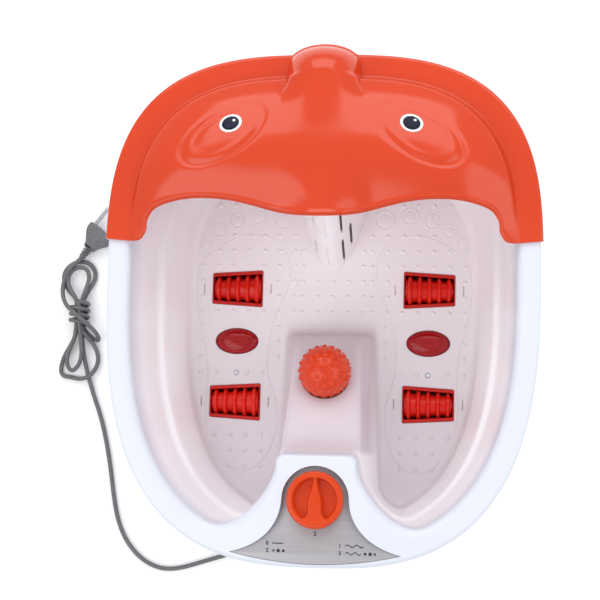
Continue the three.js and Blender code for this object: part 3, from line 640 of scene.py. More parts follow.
def housing_lift(x, y):
    """How far the rim rises into the control housing."""
    if y > 0:
        return 0.0
    return HOUSING_LIFT * (1 - smoothstep(36, 100, abs(x))) * clamp((y + 205) / 45)


def raised(contour, z, share=1.0):
    return [(p.x, p.y, z + share * housing_lift(p.x, p.y)) for p in contour]


def flat_ring(contour, z):
    return [(p.x, p.y, z) for p in contour]


# ---------------- tub

FLOOR_FILLET = 6.0
RIM_FILLET = 6.5
ISLAND_FILLET = 3.0
LIP_ROUND = 3.0


def wet_rings():
    rings = []
    for i in range(7):
        angle = radians(80) * i / 6
        z = FLOOR_TOP + FLOOR_FILLET * (1 - cos(angle))
        inset = FLOOR_FILLET * (1 - sin(angle))
        rings.append(flat_ring(basin_contour(level_at(z), -inset * 0.9), z))
    z = FLOOR_TOP + FLOOR_FILLET
    while z < RIM_START:
        share = smoothstep(122, 146, z)
        rings.append(raised(basin_contour(level_at(z)), z, share))
        z += 1.5 if z < 128 else 3.0
    for i in range(9):
        angle = pi / 2 * i / 8
        grow = RIM_FILLET * (1 - cos(angle))
        island_grow = ISLAND_FILLET * (1 - cos(angle))
        z = RIM_TOP - RIM_FILLET + RIM_FILLET * sin(angle)
        share = smoothstep(122, 146, z)
        rings.append(raised(basin_contour(RIM_LEVEL, grow, island_grow), z, share))
    return rings


def rim_rings():
    inner = basin_contour(RIM_LEVEL, RIM_FILLET, ISLAND_FILLET)
    outer = rim_contour(LIP_ROUND, RIM_LEVEL)
    rings = []
    for i in range(1, 12):
        rings.append(raised([a.lerp(b, i / 11) for a, b in zip(inner, outer)], RIM_TOP))
    for i in range(1, 6):
        angle = pi / 2 * i / 5
        contour = rim_contour(LIP_ROUND - LIP_ROUND * sin(angle), RIM_LEVEL)
        z = RIM_TOP - LIP_ROUND + LIP_ROUND * cos(angle)
        rings.append(raised(contour, z, cos(angle)))
    for inset, z in ((0, LIP_BOTTOM + 0.8), (0.5, LIP_BOTTOM), (2.2, LIP_BOTTOM), (2.2, RIM_UNDERSIDE)):
        rings.append(flat_ring(rim_contour(inset, RIM_LEVEL), z))
    rings.append(flat_ring(basin_contour(RIM_LEVEL, WALL), RIM_UNDERSIDE))
    return rings


def dry_rings():
    rings = []
    for z in range(134, 31, -6):
        rings.append(flat_ring(basin_contour(level_at(z), WALL), z))
    rings.append(flat_ring(basin_contour(level_at(FLOOR_TOP), WALL), FLOOR_TOP - WALL))
    return rings


def plate_outline(grow, steps=20):
    """Round behind the knob, flaring to two points along the front edge."""
    radius, tip_x, tip_y, front = 25.4 + grow, 65 + 2 * grow, -189, -204.5 - 2 * grow
    points = [(radius * cos(pi * i / steps), KNOB_Y + radius * sin(pi * i / steps))
              for i in range(steps + 1)]
    corners = ((-radius, KNOB_Y), (-radius - 1, -166), (-38 - grow, -183 + grow), (-tip_x, tip_y))
    handles = [Vector(p) for p in corners]
    flare = [bezier(*handles, i / steps) for i in range(1, steps + 1)]
    points += [(p.x, p.y) for p in flare]
    for i in range(1, steps):
        t = i / steps
        points.append((mix(-tip_x, tip_x, t), mix(mix(tip_y, front, t), mix(front, tip_y, t), t)))
    return points + [(-p.x, p.y) for p in reversed(flare)]


def oval(x, y, radius_x, radius_y, sides=64):
    return [(x + a * radius_x, y + b * radius_y) for a, b in circle(1.0, sides)]


def rounded_box(x, y, half_x, half_ys, radius, steps=2):
    """A plan outline with round corners, from its half depths at the +X and the -X end."""
    points = []
    for corner, (sx, sy) in enumerate(((1, 1), (-1, 1), (-1, -1), (1, -1))):
        half_y = half_ys[0 if sx > 0 else 1]
        for i in range(steps + 1):
            angle = pi / 2 * (corner + i / steps)
            points.append((x + sx * (half_x - radius) + radius * cos(angle),
                           y + sy * (half_y - radius) + radius * sin(angle)))
    return points


def window_outline(side, y, grow, radius, steps=5, deeper=0.0):
    """A roller's window, deeper at its inner end, with rounded corners."""
    depths = [half / 2 + grow + deeper for half in (WINDOW_OUTER, WINDOW_INNER)]
    return rounded_box(side * ROLLER_X, y, WINDOW_X / 2 + grow, depths[::side], radius, steps)


def sphere_profile(radius, steps):
    angles = [pi * i / steps for i in range(steps + 1)]
    return [(radius * sin(angle), -radius * cos(angle)) for angle in angles]


def tub_cutters():
    cutters = Shape()
    cutters.extruded(plate_outline(0.5), PLATE_BOTTOM - 0.3, 180)
    for side in (-1, 1):
        for y in ROLLER_STATIONS:
            cutters.extruded(window_outline(side, y, 0, 1.5), 20, 45)
            for end in (-1, 1):
                x = side * ROLLER_X + end * (WINDOW_X / 2 + 7)
                cutters.extruded(rounded_box(x, y, 0.6, (4.2, 4.2), 0.5), 30.2, 45)
        cutters.extruded(oval(side * LENS_X, LENS_Y, 11.3 * LENS_STRETCH, 11.3), 20, 45)
        cutters.extruded(oval(side * LENS_X, NOZZLE_Y, 2.2, 2.2, 20), 20, 45)
    ball = Shape().turned(sphere_profile(BALL_SOCKET, 40), 72, (0, BALL_Y, BALL_Z))
    return [cutters.object("openings_cutter"), ball.object("ball_cutter")]


def inside(outline, x, y):
    odd = False
    for i, a in enumerate(outline):
        b = outline[i - 1]
        if (a[1] > y) != (b[1] > y) and x < (b[0] - a[0]) * (y - a[1]) / (b[1] - a[1]) + a[0]:
            odd = not odd
    return odd


# The sole's raised outline on the right foot's side, anticlockwise from the ball of the foot.
SOLE = [
    (36.8, 39), (39, 55), (47, 68), (60, 74), (76, 74.5), (92, 69), (106, 60), (115, 48), (118, 32),
    (117, 12), (112, -10), (107.5, -32), (106.5, -52), (108, -72), (105, -95), (96, -114), (82, -125),
    (66, -125), (54, -113), (47.5, -96), (45.5, -80), (49, -62), (54.5, -45), (55.5, -28), (53.5, -12),
    (48, 7), (41, 22),
]
# Toe marks: x, y and radius, from the big toe outwards.
TOES = [(43.4, 88.5, 8.0), (65.5, 92, 6.9), (84, 87.5, 6.2), (99.5, 79.5, 5.8), (111, 67.5, 5.2)]


def sole_line(side):
    return [Vector((side * p.x, p.y)) for p in catmull([(x, y, 0) for x, y in SOLE], 150, closed=True)]


def sweep_flat(shape, line, section, base):
    """Sweeps a (sideways, upwards) section along a closed plan line."""
    rings = []
    for i, p in enumerate(line):
        along = (line[(i + 1) % len(line)] - line[i - 1]).normalized()
        rings.append([(p.x + along.y * a, p.y - along.x * a, base + b) for a, b in section])
    shape.loft(rings, closed=True)


def add_bead(shape, line, half_width, height, base):
    """A low raised line along a closed plan curve, sunk a little into what it lies on."""
    section = [(-half_width, -0.3), (-half_width, 0.05), (-half_width * 0.55, height * 0.8), (0, height),
               (half_width * 0.55, height * 0.8), (half_width, 0.05), (half_width, -0.3)]
    sweep_flat(shape, line, section, base)


def add_nub(shape, x, y, radius, height, base, sides=14):
    profile = [(0, -0.3), (radius, -0.3), (radius, 0.02)]
    profile += [(radius * cos(a) * 0.97, height * sin(a)) for a in (0.35, 0.75, 1.15)]
    profile.append((0, height))
    shape.turned(profile, sides, (x, y, base))


def nub_places():
    rows = [61.5 + 13.2 * k for k in range(-14, 6)]
    for y in rows:
        for x in [33.2 + 13.2 * k for k in range(7)]:
            yield x, y
            yield -x, y
        if -10 < y < 130:
            for x in (-26, -13, 0, 13, 26):
                yield x, y


def nub_is_clear(x, y, floor_edge):
    if not inside(floor_edge, x, y):
        return False
    across = abs(x)
    for station in ROLLER_STATIONS:
        if abs(across - ROLLER_X) < WINDOW_X / 2 + 4 and abs(y - station) < WINDOW_INNER / 2 + 3:
            return False
    if abs(across - LENS_X) < 23 and abs(y - LENS_Y) < 15:
        return False
    if hypot(across - LENS_X, y - NOZZLE_Y) < 6:
        return False
    if any(hypot(across - tx, y - ty) < radius + 3 for tx, ty, radius in TOES):
        return False
    behind_guard = y - GUARD_APEX
    return not (behind_guard > -4 and across < GUARD_SPREAD * sqrt(behind_guard + 6) + 3)


def floor_relief():
    """Nubs, sole outlines and toe marks, as low bodies standing on the floor."""
    shape = Shape()
    floor_edge = [(p.x, p.y) for p in basin_contour(level_at(FLOOR_TOP), -FLOOR_FILLET * 0.9 - 1.0)]
    for x, y in nub_places():
        if nub_is_clear(x, y, floor_edge):
            add_nub(shape, x, y, 2.0, 1.15, FLOOR_TOP)
    for side in (-1, 1):
        add_bead(shape, sole_line(side), 0.6, 0.5, FLOOR_TOP)
        for x, y, radius in TOES:
            add_bead(shape, [Vector(p) for p in circle(radius, 40, side * x, y)], 0.7, 0.6, FLOOR_TOP)
            add_nub(shape, side * x, y, radius * 0.72, 0.5, FLOOR_TOP, 28)
    return shape.object("floor_relief", 60)


def merge_into(target, extra):
    """Adds extra's mesh to target's."""
    work = bmesh.new()
    work.from_mesh(target.data)
    work.from_mesh(extra.data)
    work.to_mesh(target.data)
    work.free()
    bpy.data.objects.remove(extra)


def build_tub():
    tub = Shape().loft(wet_rings() + rim_rings() + dry_rings()).object("basin_tub", 50)
    cut_away(tub, tub_cutters(), 38)
    merge_into(tub, floor_relief())
    finish_piece(tub, "white_plastic", "tub")


# ---------------- shell, base and feet

def build_shell():
    outer = [(19, 4.6), (18.2, 4.0), (17.4, 5.2), (16.6, 14), (16.2, 15), (16.8, 15.8), (16.6, 17.4),
             (15.6, 18.2), (13.2, 60), (9.6, 100), (6.5, 132), (5, 145.4)]
    inner = [(7.5, 145.4), (9.0, 132), (12.1, 100), (15.7, 60), (20.2, 10), (20.5, 4.4)]
    rings = [flat_ring(rim_contour(inset, RIM_LEVEL), z) for inset, z in outer + inner]
    Shape().loft(rings, closed=True).piece("skirt_shell", 30, "shell", "outer_shell")


def build_base():
    """A flat plate with two stiffening beads under it."""
    plate = Shape().extruded([(p.x, p.y) for p in rim_contour(21.2, RIM_LEVEL)], 4.5, 7.5, 0.5)
    for inset in (45, 75):
        section = [(-1.2, 0.3), (-1.2, -0.1), (0, -0.9), (1.2, -0.1), (1.2, 0.3)]
        sweep_flat(plate, rim_contour(inset, RIM_LEVEL), section, 4.5)
    plate.piece("underside_plate", 30, "shell", "base_plate")


def under_the_base(start):
    """Each node whose name starts so, with the plan position of its middle."""
    for node in frame["nodes"]:
        if node.startswith(start):
            low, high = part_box(node)
            yield node, (low[0] + high[0]) / 2 / MM, (low[1] + high[1]) / 2 / MM - CENTRE_SHIFT_Y


def build_feet():
    profile = [(0, 0.9), (7.5, 0.9), (8.2, 0), (10.4, 0), (11, 0.6), (12.3, 3.6), (12.5, 4.2), (0, 4.2)]
    for node, x, y in under_the_base("rubber_foot"):
        Shape().turned(profile, 40, (x, y, 0)).piece("pad_" + node, 30, "rubber", node)


def build_screws():
    profile = [(0, 2.3), (2.8, 2.3), (3.7, 3.1), (3.8, 4.2), (1.5, 4.2), (1.5, 22), (0, 23)]
    for node, x, y in under_the_base("base_screw"):
        screw = Shape().turned(profile, 32, (x, y, 0)).object("turned_" + node, 30)
        arms = [rounded_box(x, y, long, (wide, wide), 0.2) for long, wide in ((2.1, 0.45), (0.45, 2.1))]
        cutters = [Shape().extruded(arm, 1.0, 3.5).object("cross_arm") for arm in arms]
        cut_away(screw, cutters, 30)
        finish_piece(screw, "steel", node)


# ---------------- hood

HOOD_EDGE = [
    (148, 51), (142, 52.5), (138, 59), (137, 67), (131, 75), (118, 79.6), (102, 82),
    (84, 82), (67, 80), (50, 76.2), (36, 72.5), (21, 69.3), (8, 67.8), (0, 67.5),
]
EYE_X = 70.0
EYE_Y = 140.0
SOCKET_X = 76.6
SOCKET_Y = 132.0
SOCKET_TURN = radians(32)
SOCKET_LENGTH = 36.5
SOCKET_WIDTH = 18.5
DOME_REACH = 88.0
DOME_RISE = 23.8
DOME_POWER = 3.4
DOME_STEP = 7.0
DOME_CREST_Y = 135.0
DOME_FALL = 67.0


def inset_at(x, y):
    across = abs(x / RIM_HALF_WIDTH) ** BACK_POWER
    along = abs((y - WIDEST_Y) / RIM_BACK) ** BACK_POWER
    return RIM_HALF_WIDTH * (1 - (across + along) ** (1 / BACK_POWER))


def socket_depth(x, y):
    """The almond-shaped groove round each eye, with a soft lid crease above it."""
    dx = -(abs(x) - SOCKET_X)
    dy = y - SOCKET_Y
    along = (dx * cos(SOCKET_TURN) + dy * sin(SOCKET_TURN)) / SOCKET_LENGTH
    across = (-dx * sin(SOCKET_TURN) + dy * cos(SOCKET_TURN)) / SOCKET_WIDTH
    reach = hypot(along, across)
    lower = 1 - 0.45 * smoothstep(0.1, 0.9, across)
    groove = 1.3 * lower * exp(-((reach - 0.98) / 0.11) ** 2)
    bowl = 0.9 * (1 - smoothstep(0.55, 1.05, reach))
    lid = 0.45 * exp(-((reach - 0.68) / 0.08) ** 2) * smoothstep(0.1, 0.5, across)
    return groove + bowl + lid


def dome_top(x, y):
    """The hood without its nose: a flat flange, a small step and the dome."""
    inset = inset_at(x, y)
    share = clamp((inset - FLANGE) / DOME_REACH)
    rise = DOME_RISE * (1 - (1 - share) ** DOME_POWER)
    forward = clamp((DOME_CREST_Y - y) / DOME_FALL, 0, 1.1)
    step = DOME_STEP * smoothstep(FLANGE - 1, FLANGE + 4, inset) * smoothstep(60, 118, y)
    return HOOD_REST + HOOD_THICK + step + rise * (1 - 0.35 * forward * forward)


def nose_end(x):
    """Where the nose's rounded end comes down, seen from above."""
    across = max(0.0, 1 - (x / NOSE_HALF_WIDTH) ** 2)
    return NOSE_END - NOSE_ROUND * (1 - sqrt(across))


def hood_top(x, y):
    """The dome, its eye sockets and a tunnel-shaped nose that fades into the dome's crest."""
    dome = dome_top(x, y) - socket_depth(x, y)
    flare = clamp(NOSE_LEVEL - y, 0, 80)
    across = max(0.0, 1 - (x / (NOSE_HALF_WIDTH + 0.2 * flare)) ** 2)
    back = clamp((y - NOSE_LEVEL) / (nose_end(x) - NOSE_LEVEL))
    crest = HOOD_REST + NOSE_HEIGHT * sqrt(max(0.0, 1 - back * back))
    stands = max(0.0, crest - dome_top(0, y))
    return dome + 1.1 * stands * stands / (stands + 3) * across ** (0.55 + 0.03 * flare)


def hood_outline(angle, out):
    p = super_point(angle, RIM_HALF_WIDTH + out, RIM_BACK + out, RIM_FRONT + out)
    p.y += max(0.0, nose_end(p.x) - WIDEST_Y - RIM_BACK)
    return p


def hood_section(angle, edge, steps=130):
    outer = hood_outline(angle, HOOD_LAP)
    inner = hood_outline(angle, 0.5)
    shoulder = hood_outline(angle, -0.6)
    bottom = RIM_TOP - 4
    length = (edge - shoulder).length
    top, under = [], []
    for i in range(steps + 1):
        share = (i / steps) ** 1.08
        p = shoulder.lerp(edge, share)
        from_edge = length * (1 - share)
        lip = 0.8 * exp(-((from_edge - 2.4) / 1.5) ** 2) - 1.1 * exp(-(from_edge / 1.2) ** 2)
        z = hood_top(p.x, p.y)
        top.append((p.x, p.y, z + lip))
        under.append((p.x, p.y, z - HOOD_THICK))
    shoulder_z = top[0][2]
    return ([(inner.x, inner.y, bottom), (outer.x, outer.y, bottom), (outer.x, outer.y, shoulder_z - 2.2),
             (mix(outer.x, shoulder.x, 0.25), mix(outer.y, shoulder.y, 0.25), shoulder_z - 0.8),
             (mix(outer.x, shoulder.x, 0.6), mix(outer.y, shoulder.y, 0.6), shoulder_z - 0.2)]
            + top + under[::-1] + [(inner.x, inner.y, shoulder_z - HOOD_THICK)])


def build_hood():
    edge_line = catmull([(x, y, 0) for x, y in HOOD_EDGE], 400)
    lengths = [0.0]
    for a, b in zip(edge_line, edge_line[1:]):
        lengths.append(lengths[-1] + (b - a).length)

    def edge_at(share):
        want = share * lengths[-1]
        k = max(i for i in range(len(lengths) - 1) if lengths[i] <= want)
        t = clamp((want - lengths[k]) / max(1e-9, lengths[k + 1] - lengths[k]))
        p = edge_line[k].lerp(edge_line[k + 1], t)
        return Vector((p.x, p.y))

    first = asin((26 / RIM_BACK) ** (BACK_POWER / 2))
    nose_start = acos((NOSE_SEAM / RIM_HALF_WIDTH) ** (BACK_POWER / 2))
    side_steps, nose_steps = 110, 60
    sections = []
    for i in range(side_steps):
        share = i / side_steps
        sections.append((first + (nose_start - first) * share, 0.8 * share))
    for i in range(nose_steps + 1):
        x = NOSE_SEAM * cos(pi / 2 * i / nose_steps)
        sections.append((acos((x / RIM_HALF_WIDTH) ** (BACK_POWER / 2)), 0.8 + 0.2 * (1 - x / NOSE_SEAM)))
    half = [hood_section(angle, edge_at(share)) for angle, share in sections]
    other = [[(-x, y, z) for x, y, z in section] for section in half[-2::-1]]
    Shape().loft(half + other).piece("orange_hood", 42, "hood_orange", "splash_hood", "hood")


def hood_patch(x, y, radius_x, radius_y, turn, low, high):
    """A thin oval disc that follows the hood's surface."""
    rings = []
    stations = [(0.0, low), (0.5, low), (1.0, low), (1.0, high - 0.15), (0.96, high), (0.7, high + 0.1),
                (0.35, high + 0.15), (0.0, high + 0.15)]
    for share, lift in stations:
        ring = []
        for a, b in circle(max(share, 0.001), 48):
            u, v = a * radius_x, b * radius_y
            px = x + u * cos(turn) - v * sin(turn)
            py = y + u * sin(turn) + v * cos(turn)
            ring.append((px, py, hood_top(px, py) + lift))
        rings.append(ring)
    return Shape().loft(rings)


def build_eyes():
    for side, word in SIDES:
        x, turn = side * EYE_X, side * -0.35
        white = hood_patch(x, EYE_Y, 9.0, 7.2, turn, -0.4, 0.35)
        white.piece(f"eye_disc_{word}", 40, "eye_white", f"eye_white_{word}", "hood")
        pupil = hood_patch(x, EYE_Y, 6.9, 5.5, turn, 0.2, 0.75)
        pupil.piece(f"eye_iris_{word}", 40, "eye_black", f"eye_pupil_{word}", "hood")
        glint = hood_patch(x + 2.6, EYE_Y + 2.2, 1.2, 1.0, 0.0, 0.6, 1.0)
        glint.piece(f"eye_glint_{word}", 40, "eye_white", body="hood")


# ---------------- controls

def build_plate():
    plate = Shape().extruded(plate_outline(0), PLATE_BOTTOM, PLATE_TOP, 0.25)
    plate.piece("silver_fascia", 30, "silver_plate", "control_plate")


def printed_text(name, text, x, y, size):
    curve = bpy.data.curves.new(name, "FONT")
    curve.body = text
    curve.align_x = "CENTER"
    curve.align_y = "CENTER"
    curve.size = size * MM
    curve.extrude = 0.00006
    curve.offset = 0.00012
    holder = new_object(name + "_curve", curve)
    depsgraph = bpy.context.evaluated_depsgraph_get()
    mesh = bpy.data.meshes.new_from_object(holder.evaluated_get(depsgraph))
    bpy.data.objects.remove(holder)
    mesh.transform(Matrix.Translation(world(x, y, PLATE_TOP + 0.07)))
    finish_piece(new_object(name, mesh), "ink")


def build_legends():
    """Digits, with a bar for off, a wave for heat and dots for bubbles."""
    low, high = PLATE_TOP - 0.05, PLATE_TOP + 0.1
    shape = Shape()
    printed_text("digit_two", "2", 0, -173.8, 4.6)
    for text, x, y in (("0", -36.5, -181.6), ("2", -36.5, -187.2), ("1", 19.2, -182.4), ("3", 19.2, -188.0)):
        printed_text(f"legend_{text}", text, x, y, 4.2)
    shape.extruded(rounded_box(-28.5, -181.6, 4.2, (0.42, 0.42), 0.1), low, high)
    for x, y, radius in ((-31.6, -187.2, 0.9), (-28.0, -187.2, 1.4), (-24.0, -187.2, 1.1),
                         (38.6, -188.0, 1.1), (42.4, -188.0, 1.4), (46.0, -188.0, 0.9)):
        shape.turned([(0, low), (radius, low), (radius, high), (0, high)], 20, (x, y, 0))
    for y, length in ((-182.4, 14.0), (-188.0, 12.0)):
        line = [(23.4 + length * i / 36, y + 0.9 * sin(4 * pi * i / 36)) for i in range(37)]
        upper = [(px, py + 0.42) for px, py in line]
        shape.extruded(upper + [(px, py - 0.42) for px, py in reversed(line)], low, high)
    shape.piece("legend_marks", 30, "ink")


def knob_height(x, y):
    """The knob's face: a raised rim, two hollows and a pointer that widens to the front."""
    radius = hypot(x, y)
    rim = smoothstep(15.2, 17.6, radius)
    half_width = 1.5 + 3.7 * smoothstep(15, -3, y) + 5 * smoothstep(-9, -18, y)
    pointer = 1 - smoothstep(half_width - 0.6, half_width + 1.4, abs(x))
    hollow = KNOB_TOP - 7.6
    crest = KNOB_TOP - 0.5 - 0.8 * smoothstep(2, 16, y)
    body = mix(hollow, crest, pointer)
    return mix(body, KNOB_TOP - 0.35 * ((radius - 18.6) / 2.4) ** 2, rim)


def build_knob():
    sides = 128
    base = PLATE_TOP + 0.4
    profile = [(AXIS_GAP, base), (20.5, base), (21.3, base + 0.3), (21.6, base + 1.2), (21.8, base + 3),
               (22.0, KNOB_TOP - 3.4), (21.9, KNOB_TOP - 2.0), (21.5, KNOB_TOP - 1.1)]
    rings = [[(x, y, z) for x, y in circle(radius, sides)] for radius, z in profile]
    for k in range(44):
        radius = max(20.8 * (1 - k / 43), AXIS_GAP)
        rings.append([(x, y, knob_height(x, y)) for x, y in circle(radius, sides)])
    knob = Shape().loft([[(x, y + KNOB_Y, z) for x, y, z in ring] for ring in rings])
    knob.piece("dial_knob", 50, "knob_orange", "control_knob", "knob")


# ---------------- ball, rollers and lenses

def build_ball():
    middle = Vector((0, BALL_Y, BALL_Z))
    shape = Shape().turned(sphere_profile(BALL_CORE, 48), 96, middle)
    reach = BALL_NUB - BALL_CORE
    profile = [(0, -1.2), (2.3, -1.2), (2.3, -0.25), (1.9, 0.12), (1.25, reach * 0.62), (0.8, reach * 0.9),
               (0.4, reach), (0, reach)]
    rows = 9
    for row in range(rows + 1):
        polar = pi * row / rows
        count = max(1, round(20 * sin(polar)))
        for i in range(count):
            turn = 2 * pi * (i + 0.5 * (row % 2)) / count
            direction = Vector((sin(polar) * cos(turn), sin(polar) * sin(turn), cos(polar)))
            spin = direction.to_track_quat("Z", "Y").to_matrix()
            shape.turned(profile, 12, middle + direction * BALL_CORE, spin)
    shape.piece("nubbed_ball", 60, "ball_orange", "massage_ball", "ball")


def roller_profile(side):
    """Five rings on a core, both tapering towards the outer end."""
    half = ROLLER_HALF

    def core(along):
        return ROLLER_CORE - ROLLER_TAPER * (side * along + half)

    profile = [(2.7, -half), (core(-half) - 0.6, -half), (core(-half), -half + 0.5)]
    for ring in range(5):
        middle = -half + 3.4 + ring * 8.3
        low = core(middle)
        section = ((0, -2.0), (0.5, -1.75), (ROLLER_RING - 0.7, -1.45), (ROLLER_RING, -0.8))
        profile += [(low + rise, middle + along) for rise, along in section]
        profile += [(low + rise, middle - along) for rise, along in reversed(section)]
    return profile + [(core(half), half - 0.5), (core(half) - 0.6, half), (2.7, half), (2.7, -half)]


def build_rollers():
    along_x = Matrix.Rotation(pi / 2, 3, "Y")
    axle_profile = [(0, -21.3), (1.9, -21.3), (2.2, -21.0), (2.2, 21.0), (1.9, 21.3), (0, 21.3)]
    for side, side_word in SIDES:
        for y, end_word in zip(ROLLER_STATIONS, ("toe", "heel")):
            word = f"{end_word}_{side_word}"
            centre = (side * ROLLER_X, y, ROLLER_Z)
            roller = Shape().turned(roller_profile(side), 64, centre, along_x)
            roller.piece(f"ringed_roller_{word}", 40, "roller_red", f"massage_roller_{word}",
                         f"roller_{word}")
            axle = Shape().turned(axle_profile, 24, centre, along_x)
            axle.piece(f"pin_{word}", 40, "steel", f"roller_axle_{word}")
            build_cradle(word, side, y)


def build_cradle(word, side, y):
    """A tray with a lip, a flange under the floor and two end walls that hold the axle."""
    stations = [
        (-0.85, 0, 9.5), (-0.35, 0, 10.2), (-0.35, 0, 27.0), (2.3, 0, 27.0), (2.3, 0, 28.6), (-0.35, 0, 28.6),
        (-0.35, 0, 32.5), (-0.6, 0, 33.0), (-1.0, -1.6, 33.0), (-1.3, -1.9, 32.6), (-1.3, -1.9, 31.0),
        (-1.6, -0.2, 29.4), (-1.6, 0, 11.4), (-2.2, 0, 10.9),
    ]
    rings = [[(px, py, z) for px, py in window_outline(side, y, grow, 1.1, 4, deeper)]
             for grow, deeper, z in stations]
    Shape().loft(rings).piece(f"tray_{word}", 30, "cradle_red", f"roller_cradle_{word}")


def build_lenses():
    dome = [(10.9 * sin(a), 31.6 + 4.4 * cos(a)) for a in [pi / 2 * i / 14 for i in range(15)]]
    inner = [(9.0, 25), (9.0, 31.2), (8.2, 32.2), (5.0, 33.6), (0, 34.0)]
    profile = dome + [(10.9, 27.0), (13, 27), (13, 25)] + inner
    for side, word in SIDES:
        lens = Shape().turned(profile, 72)
        lens.points = [(side * LENS_X + x * LENS_STRETCH, LENS_Y + y, z) for x, y, z in lens.points]
        lens.piece(f"lamp_window_{word}", 35, "lens_red", f"infrared_lens_{word}")


# ---------------- heater guard

GUARD_APEX = 45.0
GUARD_LEAN = 0.55
GUARD_SPREAD = 3.9
GUARD_TOP = 132.0
# x, lowest and highest z and depth of the slots; only the right two go through.
GUARD_SLOTS = ((16, 40, 66, 12), (9.5, 35, 62, 12), (-3, 38, 60, 1.1), (-14, 34.5, 52, 1.1))


def guard_surface(x, z):
    return GUARD_APEX + GUARD_LEAN * (z - FLOOR_TOP) + (x / GUARD_SPREAD) ** 2


def guard_rings(inset, low, high, back, steps=26):
    rings = []
    for k in range(steps + 1):
        z = mix(low, high, k / steps)
        apex = GUARD_APEX + GUARD_LEAN * (z - FLOOR_TOP) + inset
        reach = GUARD_SPREAD * sqrt(back - apex)
        across = [i / 20 * reach for i in range(-20, 21)]
        rings.append([(x, apex + (x / GUARD_SPREAD) ** 2, z) for x in across])
    return rings


def build_guard():
    guard = Shape().loft(guard_rings(0, FLOOR_TOP + 0.2, GUARD_TOP, 132)).object("slotted_guard", 35)
    hollow = Shape().loft(guard_rings(2.4, FLOOR_TOP - 5, GUARD_TOP - 2.2, 140)).object("guard_hollow")
    slots = Shape()
    for x, low, high, depth in GUARD_SLOTS:
        for rise in (0, 34):
            rings = []
            for k in range(13):
                z = mix(low, high, k / 12) + rise
                half_width = 0.95 * sqrt(max(0.02, 1 - (k / 6 - 1) ** 6))
                corners = ((x - half_width, 20), (x + half_width, 20))
                ends = [(px, guard_surface(px, z) + depth) for px in (x + half_width, x - half_width)]
                rings.append([(px, py, z) for px, py in (*corners, *ends)])
            slots.loft(rings)
    cut_away(guard, [hollow, slots.object("guard_slots")], 35)
    finish_piece(guard, "white_plastic", "heater_guard")


# ---------------- mains lead

LEAD_ROUTE = [
    (-67.36, -186.86, 14), (-71.5, -190.6, 13.2), (-77.5, -195, 10), (-86, -199, 5.5), (-98, -203, 2.6),
    (-114, -208, 2.2), (-132, -213.5, 2.2), (-149, -214, 2.2), (-165, -206.5, 2.2), (-178, -193, 2.2),
    (-187, -175, 2.2), (-192, -153, 2.2), (-195.5, -130, 2.2), (-200, -107, 2.2), (-206, -84, 2.2),
    (-212.5, -67, 2.3), (-217.1, -53, 3.0),
]
CORE_X = -227.6
CORE_Z = 8.6
LANE = 2.05
WRAP_RADIUS_X = 7.6
WRAP_RADIUS_Z = 6.3


def through(lane, upwards):
    """One strand's straight run through the middle of the bundle."""
    dx, dz = {"a": (-1, -1), "b": (1, -1), "c": (-1, 1), "d": (1, 1)}[lane]
    ys = (-6, 6, 18) if upwards else (18, 6, -6)
    return [(CORE_X + dx * LANE, y, CORE_Z + dz * LANE) for y in ys]


def bundle_route():
    """Long loops out of both ends of the middle, one after the other."""
    route = [(-220.8, -40, 4.0), (-224.2, -22, 5.6)]
    route += through("b", True)
    route += [(-220.6, 29, 5.4), (-215.4, 40, 2.6), (-217.6, 49.5, 2.2), (-226, 55.2, 2.2),
              (-236.5, 53.5, 2.2), (-244.2, 46, 2.2), (-244.6, 36, 2.4), (-237.5, 26.5, 4.8)]
    route += through("a", False)
    route += [(-233.5, -17, 4.6), (-240.5, -28, 2.4), (-244.4, -40, 2.2), (-242.5, -47.6, 2.2),
              (-235.0, -48.6, 2.2), (-226, -50.6, 3.0), (-216.5, -47.5, 6.2), (-210.8, -39, 5.2),
              (-210.4, -28.5, 3.2), (-215.5, -18, 5.6), (-221.8, -11.5, 9.2)]
    route += through("d", True)
    route += [(-222.5, 29, 9.4), (-220.2, 39, 6.6), (-222.6, 47.2, 6.2), (-230.5, 49.6, 6.0),
              (-238.0, 45.0, 6.0), (-240.4, 35.5, 6.2), (-234.6, 26.0, 9.4)]
    route += through("c", False)
    return route + [(-231.4, -16, 9.6), (-237.4, -27, 6.2), (-237.8, -38, 6.2), (-232.8, -44.2, 6.2),
                    (-226.4, -37.5, 7.8), (-224.2, -28, 8.6), (-224.8, -18, 10.8)]


def wrap_route():
    """Turns wound down round the middle of the bundle, over its loose end."""
    turns = 3.5
    steps = round(14 * turns)
    points = []
    for i in range(steps + 1):
        angle = 0.5 * pi - 2 * pi * turns * i / steps
        y = mix(17.5, -2.5, i / steps)
        points.append((CORE_X + WRAP_RADIUS_X * 1.03 * cos(angle), y,
                       CORE_Z + WRAP_RADIUS_Z * 1.03 * sin(angle)))
    return points


# From the last turn: under the bundle, up its right side, across the turns and along to the plug.
TAIL_ROUTE = [
    (-222.6, -8.0, 2.6), (-214.8, -14.6, 3.0), (-209.6, -16.0, 6.4), (-210.4, -11.0, 10.4),
    (-216.0, -4.5, 14.6), (-223.5, 2.0, 17.6), (-231.5, 8.4, 17.4), (-238.6, 14.6, 14.0),
    (-243.0, 22.5, 9.6), (-244.2, 31.5, 7.2),
    (-242.2, 40.5, 6.6), (-237.4, 48.4, 9.4), (-232.2, 53.2, 8.4), (-228.6, 57.3, 7.2),
]


def smooth_cord(points, passes):
    """Evens out the spacing and the bends of a listed route, keeping both ends."""
    line = catmull(points, len(points) * 6)
    for _ in range(passes):
        line = [line[0]] + [(a + 2 * b + c) / 4 for a, b, c in zip(line, line[1:], line[2:])] + [line[-1]]
    return line


